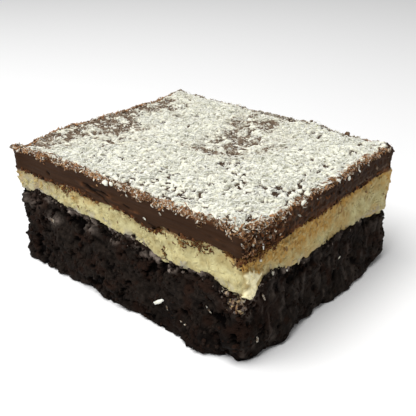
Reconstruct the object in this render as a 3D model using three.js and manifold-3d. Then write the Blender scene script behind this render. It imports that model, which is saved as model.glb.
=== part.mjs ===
// A coconut ganache brownie: a block cut from a tray bake. A dark crumbly brownie base carries a pale
// coconut cream layer, and on that lies a slab of chocolate ganache sprinkled with desiccated coconut.
// Millimetres, +Z up. The origin is the middle of the footprint, on the surface that the block stands on.
// The long cut face looks along -Y, the short one along +X.
import * as THREE from "three";
import { mergeVertices } from "three/addons/utils/BufferGeometryUtils.js";
import Module from "manifold-3d";

// Driving dimensions of the cut block
const BLOCK_LENGTH = 70;
const BLOCK_WIDTH = 58;
const CORNER_RADIUS = 2.2;
const LAYER_GAP = 0.3;

// The surfaces between the layers: a mean height, a slope, waves, and a few swells (negative: dips)
const CREAM_FLOOR = {
  height: 17.5,
  slope: { x: -0.042, y: -0.052 },
  wave: { rise: 0.5, size: 7, seed: 11 },
  swells: [
    { x: 34, y: -29, rise: -1.5, reach: 5.5 },
    { x: 12, y: -29, rise: -1.1, reach: 3.8 },
    { x: -7, y: -29, rise: 1.2, reach: 3.4 },
    { x: 35, y: -19, rise: 0.9, reach: 5 },
  ],
};
const GANACHE_FLOOR = {
  height: 24.8,
  slope: { x: 0, y: 0 },
  wave: { rise: 0.45, size: 8, seed: 23 },
  swells: [
    { x: 9.5, y: -29, rise: -1.2, reach: 3.5 },
    { x: 27, y: -29, rise: 0.9, reach: 4.5 },
  ],
};
const GANACHE_TOP = {
  height: 30.5,
  slope: { x: 0, y: 0 },
  wave: { rise: 0.35, size: 7, seed: 31 },
  swells: [
    { x: -32, y: 25, rise: 1.1, reach: 3.5 },
    { x: -35, y: -15, rise: 0.6, reach: 8 },
    { x: 8, y: 29, rise: 0.6, reach: 8 },
  ],
};

// How the block is divided into triangles
const LONG_STEPS = 27;
const SHORT_STEPS = 22;
const CORNER_STEPS = 2;
const BASE_BANDS = 9;
const CREAM_BANDS = 3;
const GANACHE_BANDS = 2;
const HIDDEN_RINGS = [0.9];
const TOP_RINGS = [0.94, 0.72, 0.42];

// Roughness of the cut faces, and how far they lie back from the block's outline
const BASE_ROUGHNESS = [
  { rise: 0.95, size: 5.2, seed: 41 },
  { rise: 0.55, size: 2.4, seed: 43 },
];
const BASE_RECESS = { top: 0.6, foot: -0.6 };
const CREAM_ROUGHNESS = [
  { rise: 0.45, size: 6, seed: 51 },
  { rise: 0.3, size: 2.2, seed: 53 },
];
const CREAM_RECESS = 0.5;
const GANACHE_ROUGHNESS = [{ rise: 0.22, size: 11, seed: 61 }];
const WORN_FOOT = { depth: 0.6, height: 1.2 };

// Lumps on the outline (negative: worn places). One with no height runs from top to bottom.
const BASE_LUMPS = [
  { x: 23.5, y: -29, z: 1.5, rise: 2.4, reach: 4 },
  { x: -2, y: -29, z: 2, rise: 0.6, reach: 7 },
  { x: -18, y: -29, z: 1, rise: 0.5, reach: 4 },
  { x: 35, y: -17, z: 2, rise: 1.4, reach: 4.5 },
  { x: 35, y: 8, z: 2, rise: 0.9, reach: 6 },
  { x: -35, y: 6, z: 4, rise: 0.9, reach: 6 },
  { x: 10, y: 29, z: 4, rise: 1, reach: 6 },
  { x: 35, y: -29, z: 0, rise: -2, reach: 5 },
  { x: -35, y: 29, z: 0, rise: -1.2, reach: 5 },
  { x: -35, y: -29, z: 5, rise: 0.6, reach: 5 },
  { x: 35, y: 29, z: 6, rise: 0.8, reach: 5 },
];
const CREAM_LUMPS = [
  { x: 35, y: -29, rise: 1.2, reach: 5 },
  { x: -35, y: -29, rise: 1.3, reach: 4 },
  { x: 35, y: 29, rise: 1.2, reach: 4 },
];
const GANACHE_LUMPS = [
  { x: -35, y: -29, rise: 1.3, reach: 3 },
  { x: 35, y: -29, rise: 0.7, reach: 2 },
  { x: 35, y: 29, rise: 1, reach: 2.5 },
  { x: -35, y: 29, rise: 0.7, reach: 2 },
];

// Desiccated coconut on the ganache
const COCONUT = {
  cell: 4.1,
  stray: 0.35,
  margin: 1,
  length: [1.9, 3.1],
  width: [0.75, 1.1],
  thickness: 0.7,
  bend: 0.45,
  lift: 0.14,
  roll: 0.25,
  pitch: 0.1,
  steps: 2,
  seed: 71,
};
const BARE_BAND = { x: -28, reach: 5.5, share: 0.6 };
const BARE_PATCH = { x: 4, y: 14, reachX: 4.5, reachY: 16, share: 0.5 };

const FINISHES = {
  base: { color: 0x1f1512, roughness: 0.85, metalness: 0 },
  cream: { color: 0xcdbf8e, roughness: 0.7, metalness: 0 },
  ganache: { color: 0x3d2a20, roughness: 0.5, metalness: 0 },
};

// A repeatable number from 0 to 1 for each point of a lattice: its whole coordinates, hashed
function latticeValue(ix, iy, iz, seed) {
  let h = Math.imul(ix, 374761393) ^ Math.imul(iy, 668265263) ^ Math.imul(iz, 1274126177);
  h ^= Math.imul(seed, 974634777);
  h = Math.imul(h ^ (h >>> 13), 1103515245);
  h = Math.imul(h ^ (h >>> 15), 668265263);
  h ^= h >>> 16;
  return (h >>> 0) / 2 ** 32;
}

// Smooth noise from -1 to 1: the values at the eight lattice points around, blended by a smoothstep
function noise(x, y, z, size, seed) {
  const place = [x / size, y / size, z / size];
  const cell = place.map(Math.floor);
  const blend = place.map((value, axis) => THREE.MathUtils.smoothstep(value - cell[axis], 0, 1));
  let sum = 0;
  for (let corner = 0; corner < 8; corner++) {
    const step = [corner & 1, (corner >> 1) & 1, corner >> 2];
    const weight = step.reduce((w, far, axis) => w * (far ? blend[axis] : 1 - blend[axis]), 1);
    sum += weight * latticeValue(cell[0] + step[0], cell[1] + step[1], cell[2] + step[2], seed);
  }
  return 2 * sum - 1;
}

// A bell: 1 at no distance, about 0.37 at one reach
const bell = (distance, reach) => Math.exp(-((distance / reach) ** 2));

// The height of a surface between layers
function heightOf({ height, slope, wave, swells }, x, y) {
  const waves = wave.rise * noise(x, y, 0, wave.size, wave.seed);
  const rises = swells.map((swell) => swell.rise * bell(Math.hypot(x - swell.x, y - swell.y), swell.reach));
  return height + slope.x * x + slope.y * y + waves + rises.reduce((sum, rise) => sum + rise, 0);
}

const creamFloor = (x, y) => heightOf(CREAM_FLOOR, x, y);
const ganacheFloor = (x, y) => heightOf(GANACHE_FLOOR, x, y);
const ganacheTop = (x, y) => heightOf(GANACHE_TOP, x, y);

// The roughness of a cut face: noises of several sizes, added up
function roughness(noises, x, y, z) {
  return noises.reduce((sum, { rise, size, seed }) => sum + rise * noise(x, y, z, size, seed), 0);
}

// The brownie's cut face: crags and crumbs, and a worn foot. It lies back at the top and flares towards
// the foot.
function baseRelief(x, y, z) {
  const recess = THREE.MathUtils.lerp(BASE_RECESS.foot, BASE_RECESS.top, z / CREAM_FLOOR.height);
  const wear = WORN_FOOT.depth * Math.max(0, 1 - z / WORN_FOOT.height) ** 2;
  return roughness(BASE_ROUGHNESS, x, y, z) - recess - wear;
}

// The cream's cut face is uneven and lies back
const creamRelief = (x, y, z) => roughness(CREAM_ROUGHNESS, x, y, z) - CREAM_RECESS;

// The ganache's cut face is nearly flat
const ganacheRelief = (x, y, z) => roughness(GANACHE_ROUGHNESS, x, y, z);

// How far a point of a wall is moved by the lumps near it. A lump on a side stands out square to it, and
// one on a corner along the diagonal.
function pushOf(lumps, x, y, z) {
  const push = new THREE.Vector2();
  for (const lump of lumps) {
    const facingX = Math.abs(lump.x) < BLOCK_LENGTH / 2 ? 0 : Math.sign(lump.x);
    const facingY = Math.abs(lump.y) < BLOCK_WIDTH / 2 ? 0 : Math.sign(lump.y);
    const facing = new THREE.Vector2(facingX, facingY).normalize();
    const away = Math.hypot(x - lump.x, y - lump.y, z - (lump.z ?? z));
    push.addScaledVector(facing, lump.rise * bell(away, lump.reach));
  }
  return push;
}

// The block's outline from above, counter-clockwise: points with the directions that they face
function outline() {
  const points = [];
  const [endX, endY] = [BLOCK_LENGTH / 2 - CORNER_RADIUS, BLOCK_WIDTH / 2 - CORNER_RADIUS];
  const sides = [
    { from: [-endX, -endY], to: [endX, -endY], facing: -90, steps: LONG_STEPS },
    { from: [endX, -endY], to: [endX, endY], facing: 0, steps: SHORT_STEPS },
    { from: [endX, endY], to: [-endX, endY], facing: 90, steps: LONG_STEPS },
    { from: [-endX, endY], to: [-endX, -endY], facing: 180, steps: SHORT_STEPS },
  ];
  const push = (x, y, degrees) => {
    const angle = THREE.MathUtils.degToRad(degrees);
    const [nx, ny] = [Math.cos(angle), Math.sin(angle)];
    points.push({ x: x + CORNER_RADIUS * nx, y: y + CORNER_RADIUS * ny, nx, ny });
  };
  for (const { from, to, facing, steps } of sides) {
    for (let i = 0; i < steps; i++) {
      const share = i / steps;
      push(THREE.MathUtils.lerp(from[0], to[0], share), THREE.MathUtils.lerp(from[1], to[1], share), facing);
    }
    for (let i = 0; i < CORNER_STEPS; i++) push(...to, facing + (90 * i) / CORNER_STEPS);
  }
  return points;
}

// A closed slab: bands of wall round the outline, and a floor and a top of rings that close at the middle
function slab({ floor, top, relief, lumps, bands, floorRings, topRings }) {
  const edge = outline();
  const count = edge.length;
  const positions = [];
  const indices = [];
  const join = (lower, upper) => {
    for (let i = 0; i < count; i++) {
      const next = (i + 1) % count;
      indices.push(lower + i, lower + next, upper + next, lower + i, upper + next, upper + i);
    }
  };
  for (let band = 0; band <= bands; band++) {
    for (const p of edge) {
      const heightAt = (x, y) => THREE.MathUtils.lerp(floor(x, y), top(x, y), band / bands);
      const out = relief(p.x, p.y, heightAt(p.x, p.y));
      const push = pushOf(lumps, p.x, p.y, heightAt(p.x, p.y));
      const [x, y] = [p.x + p.nx * out + push.x, p.y + p.ny * out + push.y];
      positions.push(x, y, heightAt(x, y));
    }
    if (band > 0) join((band - 1) * count, band * count);
  }
  const close = (surface, rings, wallRing, facesUp) => {
    let previous = wallRing;
    for (const scale of rings) {
      const ring = positions.length / 3;
      for (const p of edge) positions.push(p.x * scale, p.y * scale, surface(p.x * scale, p.y * scale));
      join(...(facesUp ? [previous, ring] : [ring, previous]));
      previous = ring;
    }
    const middle = positions.length / 3;
    positions.push(0, 0, surface(0, 0));
    for (let i = 0; i < count; i++) {
      const [here, next] = [previous + i, previous + ((i + 1) % count)];
      indices.push(...(facesUp ? [here, next, middle] : [next, here, middle]));
    }
  };
  close(floor, floorRings, 0, false);
  close(top, topRings, bands * count, true);
  const geometry = new THREE.BufferGeometry();
  geometry.setAttribute("position", new THREE.Float32BufferAttribute(positions, 3));
  geometry.setIndex(indices);
  return geometry;
}

// The brownie itself, from the flat foot up to the cream
function baseGeometry() {
  return slab({
    floor: () => 0,
    top: creamFloor,
    relief: baseRelief,
    lumps: BASE_LUMPS,
    bands: BASE_BANDS,
    floorRings: [],
    topRings: HIDDEN_RINGS,
  });
}

// The coconut cream between the brownie and the ganache
function creamGeometry() {
  return slab({
    floor: (x, y) => creamFloor(x, y) + LAYER_GAP,
    top: ganacheFloor,
    relief: creamRelief,
    lumps: CREAM_LUMPS,
    bands: CREAM_BANDS,
    floorRings: HIDDEN_RINGS,
    topRings: HIDDEN_RINGS,
  });
}

// The ganache before it is sprinkled
function plainGanache() {
  return slab({
    floor: (x, y) => ganacheFloor(x, y) + LAYER_GAP,
    top: ganacheTop,
    relief: ganacheRelief,
    lumps: GANACHE_LUMPS,
    bands: GANACHE_BANDS,
    floorRings: HIDDEN_RINGS,
    topRings: TOP_RINGS,
  });
}

// Whether the coconut leaves the ganache bare: it is thin along the back left and on one long patch
function isBare(x, y, chance) {
  const band = BARE_BAND.share * bell(x - BARE_BAND.x, BARE_BAND.reach);
  const [dx, dy] = [(x - BARE_PATCH.x) / BARE_PATCH.reachX, (y - BARE_PATCH.y) / BARE_PATCH.reachY];
  const patch = BARE_PATCH.share * bell(Math.hypot(dx, dy), 1);
  return chance < Math.max(band, patch);
}

// One shred of coconut: a flat strip along a short arc, lying on XY
function shredGeometry(length, width, bend) {
  const [halfWidth, halfThickness] = [width / 2, COCONUT.thickness / 2];
  const section = new THREE.Shape([
    new THREE.Vector2(-halfThickness, -halfWidth),
    new THREE.Vector2(halfThickness, -halfWidth),
    new THREE.Vector2(halfThickness, halfWidth),
    new THREE.Vector2(-halfThickness, halfWidth),
  ]);
  const arc = new THREE.QuadraticBezierCurve3(
    new THREE.Vector3(-length / 2, 0, 0),
    new THREE.Vector3(0, 2 * bend, 0),
    new THREE.Vector3(length / 2, 0, 0),
  );
  return new THREE.ExtrudeGeometry(section, { steps: COCONUT.steps, extrudePath: arc });
}

// A function that gives the height of a geometry's top at a point
function topOf(geometry) {
  const mesh = new THREE.Mesh(geometry);
  const ray = new THREE.Raycaster();
  const above = 2 * GANACHE_TOP.height;
  return (x, y) => {
    ray.set(new THREE.Vector3(x, y, above), new THREE.Vector3(0, 0, -1));
    return ray.intersectObject(mesh)[0].point.z;
  };
}

// The coconut on the ganache: a shred in each cell of a grid, moved and turned by seeded draws
function coconutShreds(topHeight) {
  const shreds = [];
  const columns = Math.floor((BLOCK_LENGTH - 2 * COCONUT.margin) / COCONUT.cell);
  const rows = Math.floor((BLOCK_WIDTH - 2 * COCONUT.margin) / COCONUT.cell);
  for (let column = 0; column < columns; column++) {
    for (let row = 0; row < rows; row++) {
      let draws = 0;
      const between = (low, high) => {
        draws += 1;
        return THREE.MathUtils.lerp(low, high, latticeValue(column, row, draws, COCONUT.seed));
      };
      const x = (column + 0.5 - columns / 2 + between(-COCONUT.stray, COCONUT.stray)) * COCONUT.cell;
      const y = (row + 0.5 - rows / 2 + between(-COCONUT.stray, COCONUT.stray)) * COCONUT.cell;
      if (isBare(x, y, between(0, 1))) continue;
      const bend = between(-COCONUT.bend, COCONUT.bend);
      const [length, width] = [between(...COCONUT.length), between(...COCONUT.width)];
      const shred = new THREE.Mesh(shredGeometry(length, width, bend));
      const roll = between(-COCONUT.roll, COCONUT.roll);
      const pitch = between(-COCONUT.pitch, COCONUT.pitch);
      shred.rotation.set(roll, pitch, between(0, 2 * Math.PI), "ZYX");
      shred.position.set(x, y, topHeight(x, y) + COCONUT.lift);
      shred.updateMatrixWorld();
      shreds.push(shred.geometry.applyMatrix4(shred.matrixWorld));
    }
  }
  return shreds;
}

const wasm = await Module();
wasm.setup();

// A closed geometry as a solid that can be joined to others
function toSolid(geometry) {
  const bare = new THREE.BufferGeometry().setAttribute("position", geometry.getAttribute("position"));
  bare.setIndex(geometry.index);
  const merged = mergeVertices(bare);
  return new wasm.Manifold(
    new wasm.Mesh({
      numProp: 3,
      vertProperties: new Float32Array(merged.getAttribute("position").array),
      triVerts: new Uint32Array(merged.index.array),
    }),
  );
}

// A joined solid as a geometry again
function toGeometry(solid) {
  const { vertProperties, triVerts } = solid.getMesh();
  const geometry = new THREE.BufferGeometry();
  geometry.setAttribute("position", new THREE.Float32BufferAttribute(vertProperties, 3));
  geometry.setIndex(new THREE.BufferAttribute(triVerts, 1));
  return geometry;
}

// The ganache with its coconut fused on. Of the joined bodies the largest stays, so loose scraps and the
// inner walls of sealed hollows go.
function ganacheGeometry() {
  const plain = plainGanache();
  const shreds = coconutShreds(topOf(plain));
  const joined = shreds.reduce((sum, shred) => sum.add(toSolid(shred)), toSolid(plain));
  const bodies = joined.decompose().sort((a, b) => b.volume() - a.volume());
  return toGeometry(bodies[0]);
}

// A named layer with its finish
function layer(name, geometry, finish) {
  geometry.computeVertexNormals();
  const mesh = new THREE.Mesh(geometry, new THREE.MeshStandardMaterial(finish));
  mesh.name = name;
  return mesh;
}

const brownie = new THREE.Group();
brownie.add(layer("brownie_base", baseGeometry(), FINISHES.base));
brownie.add(layer("coconut_cream", creamGeometry(), FINISHES.cream));
brownie.add(layer("ganache_top", ganacheGeometry(), FINISHES.ganache));

// The lumps put the middle of the footprint a little off the middle of the outline
const middle = new THREE.Box3().setFromObject(brownie).getCenter(new THREE.Vector3());
brownie.position.set(-middle.x, -middle.y, 0);

export default brownie;
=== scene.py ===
"""The looks of a coconut ganache brownie: dark crumbly cake, pale coconut cream, a ganache slab and dried
coconut on it. Shapes are worked out in millimetres, in the block's own place, and become metres at the
end. So the tables give places and sizes in millimetres too."""

import math

import bpy
import numpy as np
from mathutils import Matrix, Vector


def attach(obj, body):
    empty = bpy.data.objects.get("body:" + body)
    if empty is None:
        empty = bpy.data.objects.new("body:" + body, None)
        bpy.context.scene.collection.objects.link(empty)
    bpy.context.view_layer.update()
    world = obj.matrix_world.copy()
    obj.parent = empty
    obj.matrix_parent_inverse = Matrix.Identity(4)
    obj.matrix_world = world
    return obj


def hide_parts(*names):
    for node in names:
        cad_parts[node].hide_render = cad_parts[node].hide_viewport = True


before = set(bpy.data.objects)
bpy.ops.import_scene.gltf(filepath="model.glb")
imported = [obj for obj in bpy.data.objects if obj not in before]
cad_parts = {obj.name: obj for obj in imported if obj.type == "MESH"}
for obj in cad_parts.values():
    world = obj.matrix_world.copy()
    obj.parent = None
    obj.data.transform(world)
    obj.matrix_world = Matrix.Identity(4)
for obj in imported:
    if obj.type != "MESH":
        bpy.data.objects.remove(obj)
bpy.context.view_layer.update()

# Millimetres to metres, and the middle of the cut outline, which the lumps put a little off the box's middle
MM = 0.001
OUTLINE_MIDDLE = (-0.2493, 0.3371, 0)

# The cut block and its layers, as in the solids
BLOCK_LENGTH = 70
BLOCK_WIDTH = 58
BLOCK_HALF = np.array([BLOCK_LENGTH, BLOCK_WIDTH]) / 2
CORNER_RADIUS = 2.2
CREAM_FLOOR = {
    "height": 17.5,
    "slope": (-0.042, -0.052),
    "wave": {"rise": 0.5, "size": 7, "seed": 11},
    "swells": [(34, -29, -1.5, 5.5), (12, -29, -1.1, 3.8), (-7, -29, 1.2, 3.4), (35, -19, 0.9, 5)],
}
GANACHE_FLOOR = {
    "height": 24.8,
    "slope": (0, 0),
    "wave": {"rise": 0.45, "size": 8, "seed": 23},
    "swells": [(9.5, -29, -1.2, 3.5), (27, -29, 0.9, 4.5)],
}
GANACHE_TOP = {
    "height": 30.5,
    "slope": (0, 0),
    "wave": {"rise": 0.35, "size": 7, "seed": 31},
    "swells": [(-32, 25, 1.1, 3.5), (-35, -15, 0.6, 8), (8, 29, 0.6, 8)],
}
BASE_ROUGHNESS = [(0.95, 5.2, 41), (0.55, 2.4, 43)]
BASE_RECESS = {"top": 0.6, "foot": -0.6}
CREAM_ROUGHNESS = [(0.45, 6, 51), (0.3, 2.2, 53)]
CREAM_RECESS = 0.5
GANACHE_ROUGHNESS = [(0.22, 11, 61)]
WORN_FOOT = {"depth": 0.6, "height": 1.2}

# Lumps on the outline, those of the solids and finer ones at two corners: x, y, z, rise, reach. One whose z
# is None runs from top to bottom.
BASE_LUMPS = [
    (23.5, -29, 1.5, 2.4, 4),
    (-2, -29, 2, 0.6, 7),
    (-18, -29, 1, 0.5, 4),
    (35, -17, 2, 1.4, 4.5),
    (35, 8, 2, 0.9, 6),
    (-35, 6, 4, 0.9, 6),
    (10, 29, 4, 1, 6),
    (35, -29, 0, -2, 5),
    (-35, 29, 0, -1.2, 5),
    (-35, -29, 5, 0.6, 5),
    (-35, -29, 19.5, 1.2, 3),
    (35, 29, 6, 0.8, 5),
]
CREAM_LUMPS = [
    (35, -29, None, 1.2, 5),
    (-35, -29, None, 1.3, 4),
    (35, 29, None, 1.2, 4),
    (-35, -29, 20, -0.7, 2.5),
    (-35, -29, 24, 0.4, 1.4),
    (35, 29, 23.6, 0.6, 1.6),
]
GANACHE_LUMPS = [
    (-35, -29, None, 1.3, 3),
    (35, -29, None, 0.7, 2),
    (35, 29, None, 1, 2.5),
    (35, 29, 26, -0.6, 1.6),
    (35, 29, 29.3, 0.3, 1.3),
    (-35, 29, None, 0.7, 2),
]

# How finely the layers are divided, and the outline's scales at the rings that close them
COLUMNS = 840
BASE_ROWS = 94
CREAM_ROWS = 46
GANACHE_ROWS = 36
HIDDEN_RINGS = [0.9, 0.5]
TOP_RINGS = [0.985, 0.965, *np.linspace(0.94, 0.06, 40)]
FELT_RINGS = np.linspace(0.985, 0.01, 110)

# How deep the edges of a layer are hidden in its neighbour
SUNK = {"cream in cake": 1.2, "cream in ganache": 0.35, "felt in ganache": 0.4}
# A distance past anything on the block
FAR = 99


def lerp(low, high, share):
    """low at share 0, high at share 1."""
    return low + (high - low) * share


def smooth(share):
    """A step from 0 to 1 with level ends: 3 s squared minus 2 s cubed."""
    share = np.clip(share, 0, 1)
    return share * share * (3 - 2 * share)


def bell(distance, reach):
    """1 at no distance, about 0.37 at one reach."""
    return np.exp(-((distance / reach) ** 2))


def lattice_value(ix, iy, iz, seed):
    """A repeatable number from 0 to 1 for each point of a lattice: its whole coordinates, hashed."""
    ix, iy, iz = (np.asarray(i, np.int64).astype(np.uint32) for i in (ix, iy, iz))
    hashed = ix * np.uint32(374761393) ^ iy * np.uint32(668265263) ^ iz * np.uint32(1274126177)
    hashed = hashed ^ np.uint32(seed * 974634777 % 2**32)
    hashed = (hashed ^ (hashed >> np.uint32(13))) * np.uint32(1103515245)
    hashed = (hashed ^ (hashed >> np.uint32(15))) * np.uint32(668265263)
    return (hashed ^ (hashed >> np.uint32(16))) / 2**32


def noise(points, size, seed):
    """Smooth noise from -1 to 1: the values at the eight lattice points around, blended by a smooth step.
    Its size is the lattice's step in millimetres, and each use has a seed of its own."""
    place = points / size
    cell = np.floor(place)
    blend = smooth(place - cell)
    total = 0
    for corner in range(8):
        step = np.array([corner & 1, corner >> 1 & 1, corner >> 2])
        weight = np.where(step == 1, blend, 1 - blend).prod(-1)
        near = cell + step
        total = total + weight * lattice_value(near[..., 0], near[..., 1], near[..., 2], seed)
    return 2 * total - 1


def rough_noise(points, size, seed, octaves=3):
    """Noises added up, each half the size and a little over half the rise of the one before."""
    return sum(0.55**n * noise(points, size / 2**n, seed + n) for n in range(octaves))


def patches(points, size, seed, balance, contrast):
    """Soft patches from 0 to 1: a smooth step of the balance plus the noise times the contrast."""
    return smooth(balance + contrast * noise(points, size, seed))


def plane_noise(xy, size, seed):
    """Noise over the plan."""
    return noise(np.concatenate([xy, np.zeros(xy.shape[:-1] + (1,))], -1), size, seed)


def cells(points, size, seed):
    """Points scattered one to each cell of a lattice: the distance to the nearest, in cells."""
    place = points / size
    cell = np.floor(place)
    nearest = np.full(points.shape[:-1], 9.0)
    for step in np.ndindex(3, 3, 3):
        near = cell + np.array(step) - 1
        spot = [lattice_value(near[..., 0], near[..., 1], near[..., 2], seed + axis) for axis in range(3)]
        away = np.sqrt(sum((near[..., axis] + spot[axis] - place[..., axis]) ** 2 for axis in range(3)))
        nearest = np.minimum(nearest, away)
    return nearest


def around(points, x, y, reach):
    """A bell round an upright line at x and y."""
    return bell(np.hypot(points[..., 0] - x, points[..., 1] - y), reach)


def height_of(surface, xy):
    """The height of a surface between layers: a mean, a slope, waves and a few swells."""
    slope_x, slope_y = surface["slope"]
    wave = surface["wave"]
    height = surface["height"] + slope_x * xy[..., 0] + slope_y * xy[..., 1]
    height = height + wave["rise"] * plane_noise(xy, wave["size"], wave["seed"])
    for x, y, rise, reach in surface["swells"]:
        height = height + rise * around(xy, x, y, reach)
    return height


def above(surface, points):
    """How high points stand above a surface between layers."""
    return points[..., 2] - height_of(surface, points[..., :2])


def below(surface, points):
    """How deep points lie below a surface between layers."""
    return height_of(surface, points[..., :2]) - points[..., 2]


def roughness(noises, points):
    """The roughness of a cut face: noises of several sizes, added up."""
    return sum(rise * noise(points, size, seed) for rise, size, seed in noises)


def push_of(lumps, points):
    """How far a wall is moved by its lumps: a bell round each, square to its side or along the diagonal."""
    push = np.zeros(points.shape[:-1] + (2,))
    for x, y, z, rise, reach in lumps:
        facing = np.sign([x, y]) * (np.abs([x, y]) >= BLOCK_HALF)
        deep = 0 if z is None else points[..., 2] - z
        away = np.sqrt((points[..., 0] - x) ** 2 + (points[..., 1] - y) ** 2 + deep**2)
        push += (rise * bell(away, reach))[..., None] * facing / np.linalg.norm(facing)
    return push


def outline(count):
    """The block's outline from above, counter-clockwise: a rounded rectangle walked at even steps. The centre
    that the radius turns about moves along the sides and waits at the corners, and the angle does the
    opposite. Returns the points and the way that each faces."""
    ends = BLOCK_HALF - CORNER_RADIUS
    corners = ends * [[-1, -1], [1, -1], [1, 1], [-1, 1]]
    centres = np.repeat(np.vstack([corners, corners[:1]]), 2, axis=0)[1:]
    angles = np.radians([-90, -90, 0, 0, 90, 90, 180, 180, 270])
    sides = np.repeat(2 * ends[[0, 1, 0, 1]], 2)
    sides[1::2] = CORNER_RADIUS * math.pi / 2
    knots = np.concatenate([[0], np.cumsum(sides)])
    walk = np.arange(count) / count * knots[-1]
    angle = np.interp(walk, knots, angles)
    facing = np.stack([np.cos(angle), np.sin(angle)], -1)
    centre = np.stack([np.interp(walk, knots, centres[: len(knots), axis]) for axis in range(2)], -1)
    return centre + CORNER_RADIUS * facing, facing


EDGE, FACING = outline(COLUMNS)

# The two cut faces that show: the axis that runs along each, and the way that it faces
SIDES = {"front": (0, np.array([0, -1, 0])), "right": (1, np.array([1, 0, 0]))}
# For each, 1 in the columns that face its way, falling to 0 round the corners
FACES = {side: smooth((FACING @ facing[:2] - 0.5) / 0.3) for side, (_, facing) in SIDES.items()}
FRONT_FACE, RIGHT_FACE = FACES["front"], FACES["right"]


def grid_normals(points):
    """Unit normals of a grid whose columns close round: along the columns, crossed with up the rows."""
    along = np.roll(points, -1, axis=1) - np.roll(points, 1, axis=1)
    normals = np.cross(along, np.gradient(points, axis=0))
    return normals / np.maximum(np.linalg.norm(normals, axis=-1, keepdims=True), 1e-9)


def wall_of(floor, top, shares, relief, lumps):
    """A cut face all round: the outline at each share of the height from floor to top, moved out by its
    relief and its lumps, with the height taken again where the point then stands."""
    shares = shares[:, None]
    start = np.broadcast_to(EDGE, (len(shares),) + EDGE.shape)
    points = np.dstack([start, lerp(floor(EDGE), top(EDGE), shares)])
    moved = start + relief(points)[..., None] * FACING + push_of(lumps, points)
    return np.dstack([moved, lerp(floor(moved), top(moved), shares)])


def carve(points, detail):
    """Moves a grid along its own normals by the detail worked out at each point."""
    return points + detail(points)[..., None] * grid_normals(points)


def rings_of(surface, scales):
    """Smaller and smaller copies of the outline, laid on a surface."""
    flat = EDGE * np.array(scales)[:, None, None]
    return np.dstack([flat, surface(flat)])


def closed_triangles(rows, columns):
    """The triangles of a closed skin: rows of points that close round, between a first and a last point."""
    index = 1 + np.arange(rows * columns).reshape(rows, columns)
    after = np.roll(index, -1, axis=1)
    parts = [
        (index[:-1], after[:-1], after[1:]),
        (index[:-1], after[1:], index[1:]),
        (np.zeros(columns, int), after[0], index[0]),
        (index[-1], after[-1], np.full(columns, 1 + rows * columns)),
    ]
    return np.concatenate([np.stack(part, -1).reshape(-1, 3) for part in parts])


def closed_slab(wall, floor, top, floor_rings, top_rings):
    """One closed skin: from the middle of the underside out over its rings, up the wall and back to the
    middle of the top. Returns the points, the triangles, and where the wall is in the list of points."""
    underside, upside = rings_of(floor, floor_rings[::-1]), rings_of(top, top_rings)
    middle = np.zeros((1, 2))
    first, last = (np.column_stack([middle, surface(middle)]) for surface in (floor, top))
    body = np.concatenate([underside, wall, upside])
    rows, columns = body.shape[:2]
    start = 1 + len(underside) * columns
    span = slice(start, start + len(wall) * columns)
    return np.concatenate([first, body.reshape(-1, 3), last]), closed_triangles(rows, columns), span


def make_piece(name, slot, points, triangles, values, is_smooth=True):
    """Puts points in millimetres and triangles into a mesh, with a named number at each point and the
    finish of its slot."""
    mesh = bpy.data.meshes.new(name)
    mesh.vertices.add(len(points))
    mesh.vertices.foreach_set("co", ((points + OUTLINE_MIDDLE) * MM).astype(np.float32).ravel())
    mesh.loops.add(triangles.size)
    mesh.loops.foreach_set("vertex_index", triangles.astype(np.int32).ravel())
    mesh.polygons.add(len(triangles))
    mesh.polygons.foreach_set("loop_start", np.arange(0, triangles.size, 3, dtype=np.int32))
    mesh.polygons.foreach_set("use_smooth", np.full(len(triangles), is_smooth))
    for key, value in values.items():
        attribute = mesh.attributes.new(key, "FLOAT", "POINT")
        attribute.data.foreach_set("value", np.asarray(value, np.float32).ravel())
    mesh.update(calc_edges=True)
    mesh.validate()
    mesh.materials.append(FINISHES[slot])
    piece = bpy.data.objects.new(name, mesh)
    bpy.context.scene.collection.objects.link(piece)
    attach(piece, "root")
    return piece


# Node helpers and the effects that several finishes share


def add_node(tree, kind, inputs, **settings):
    """A node with its settings, each input a value or a link from another node. Returns its outputs."""
    made = tree.nodes.new(kind)
    for key, value in settings.items():
        setattr(made, key, value)
    for key, value in inputs.items():
        if isinstance(value, bpy.types.NodeSocket):
            tree.links.new(value, made.inputs[key])
        else:
            made.inputs[key].default_value = value
    return made.outputs


def maths(tree, operation, first, second, use_clamp=False):
    """The result of one operation on two numbers."""
    settings = {"operation": operation, "use_clamp": use_clamp}
    return add_node(tree, "ShaderNodeMath", {0: first, 1: second}, **settings)[0]


def fractal(tree, given, detail, roughness):
    """Fractal noise at a group's own place and size."""
    inputs = {"Vector": given["Place"], "Scale": given["Size"], "Detail": detail, "Roughness": roughness}
    return add_node(tree, "ShaderNodeTexNoise", inputs)["Fac"]


def mixed(tree, share, first, second):
    """The first colour at share 0, the second at share 1."""
    inputs = {"Factor": share, "A": first, "B": second}
    return add_node(tree, "ShaderNodeMix", inputs, data_type="RGBA")["Result"]


def number_of(tree, name):
    """A named number that the piece keeps at its points."""
    return add_node(tree, "ShaderNodeAttribute", {}, attribute_name=name)["Fac"]


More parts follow.
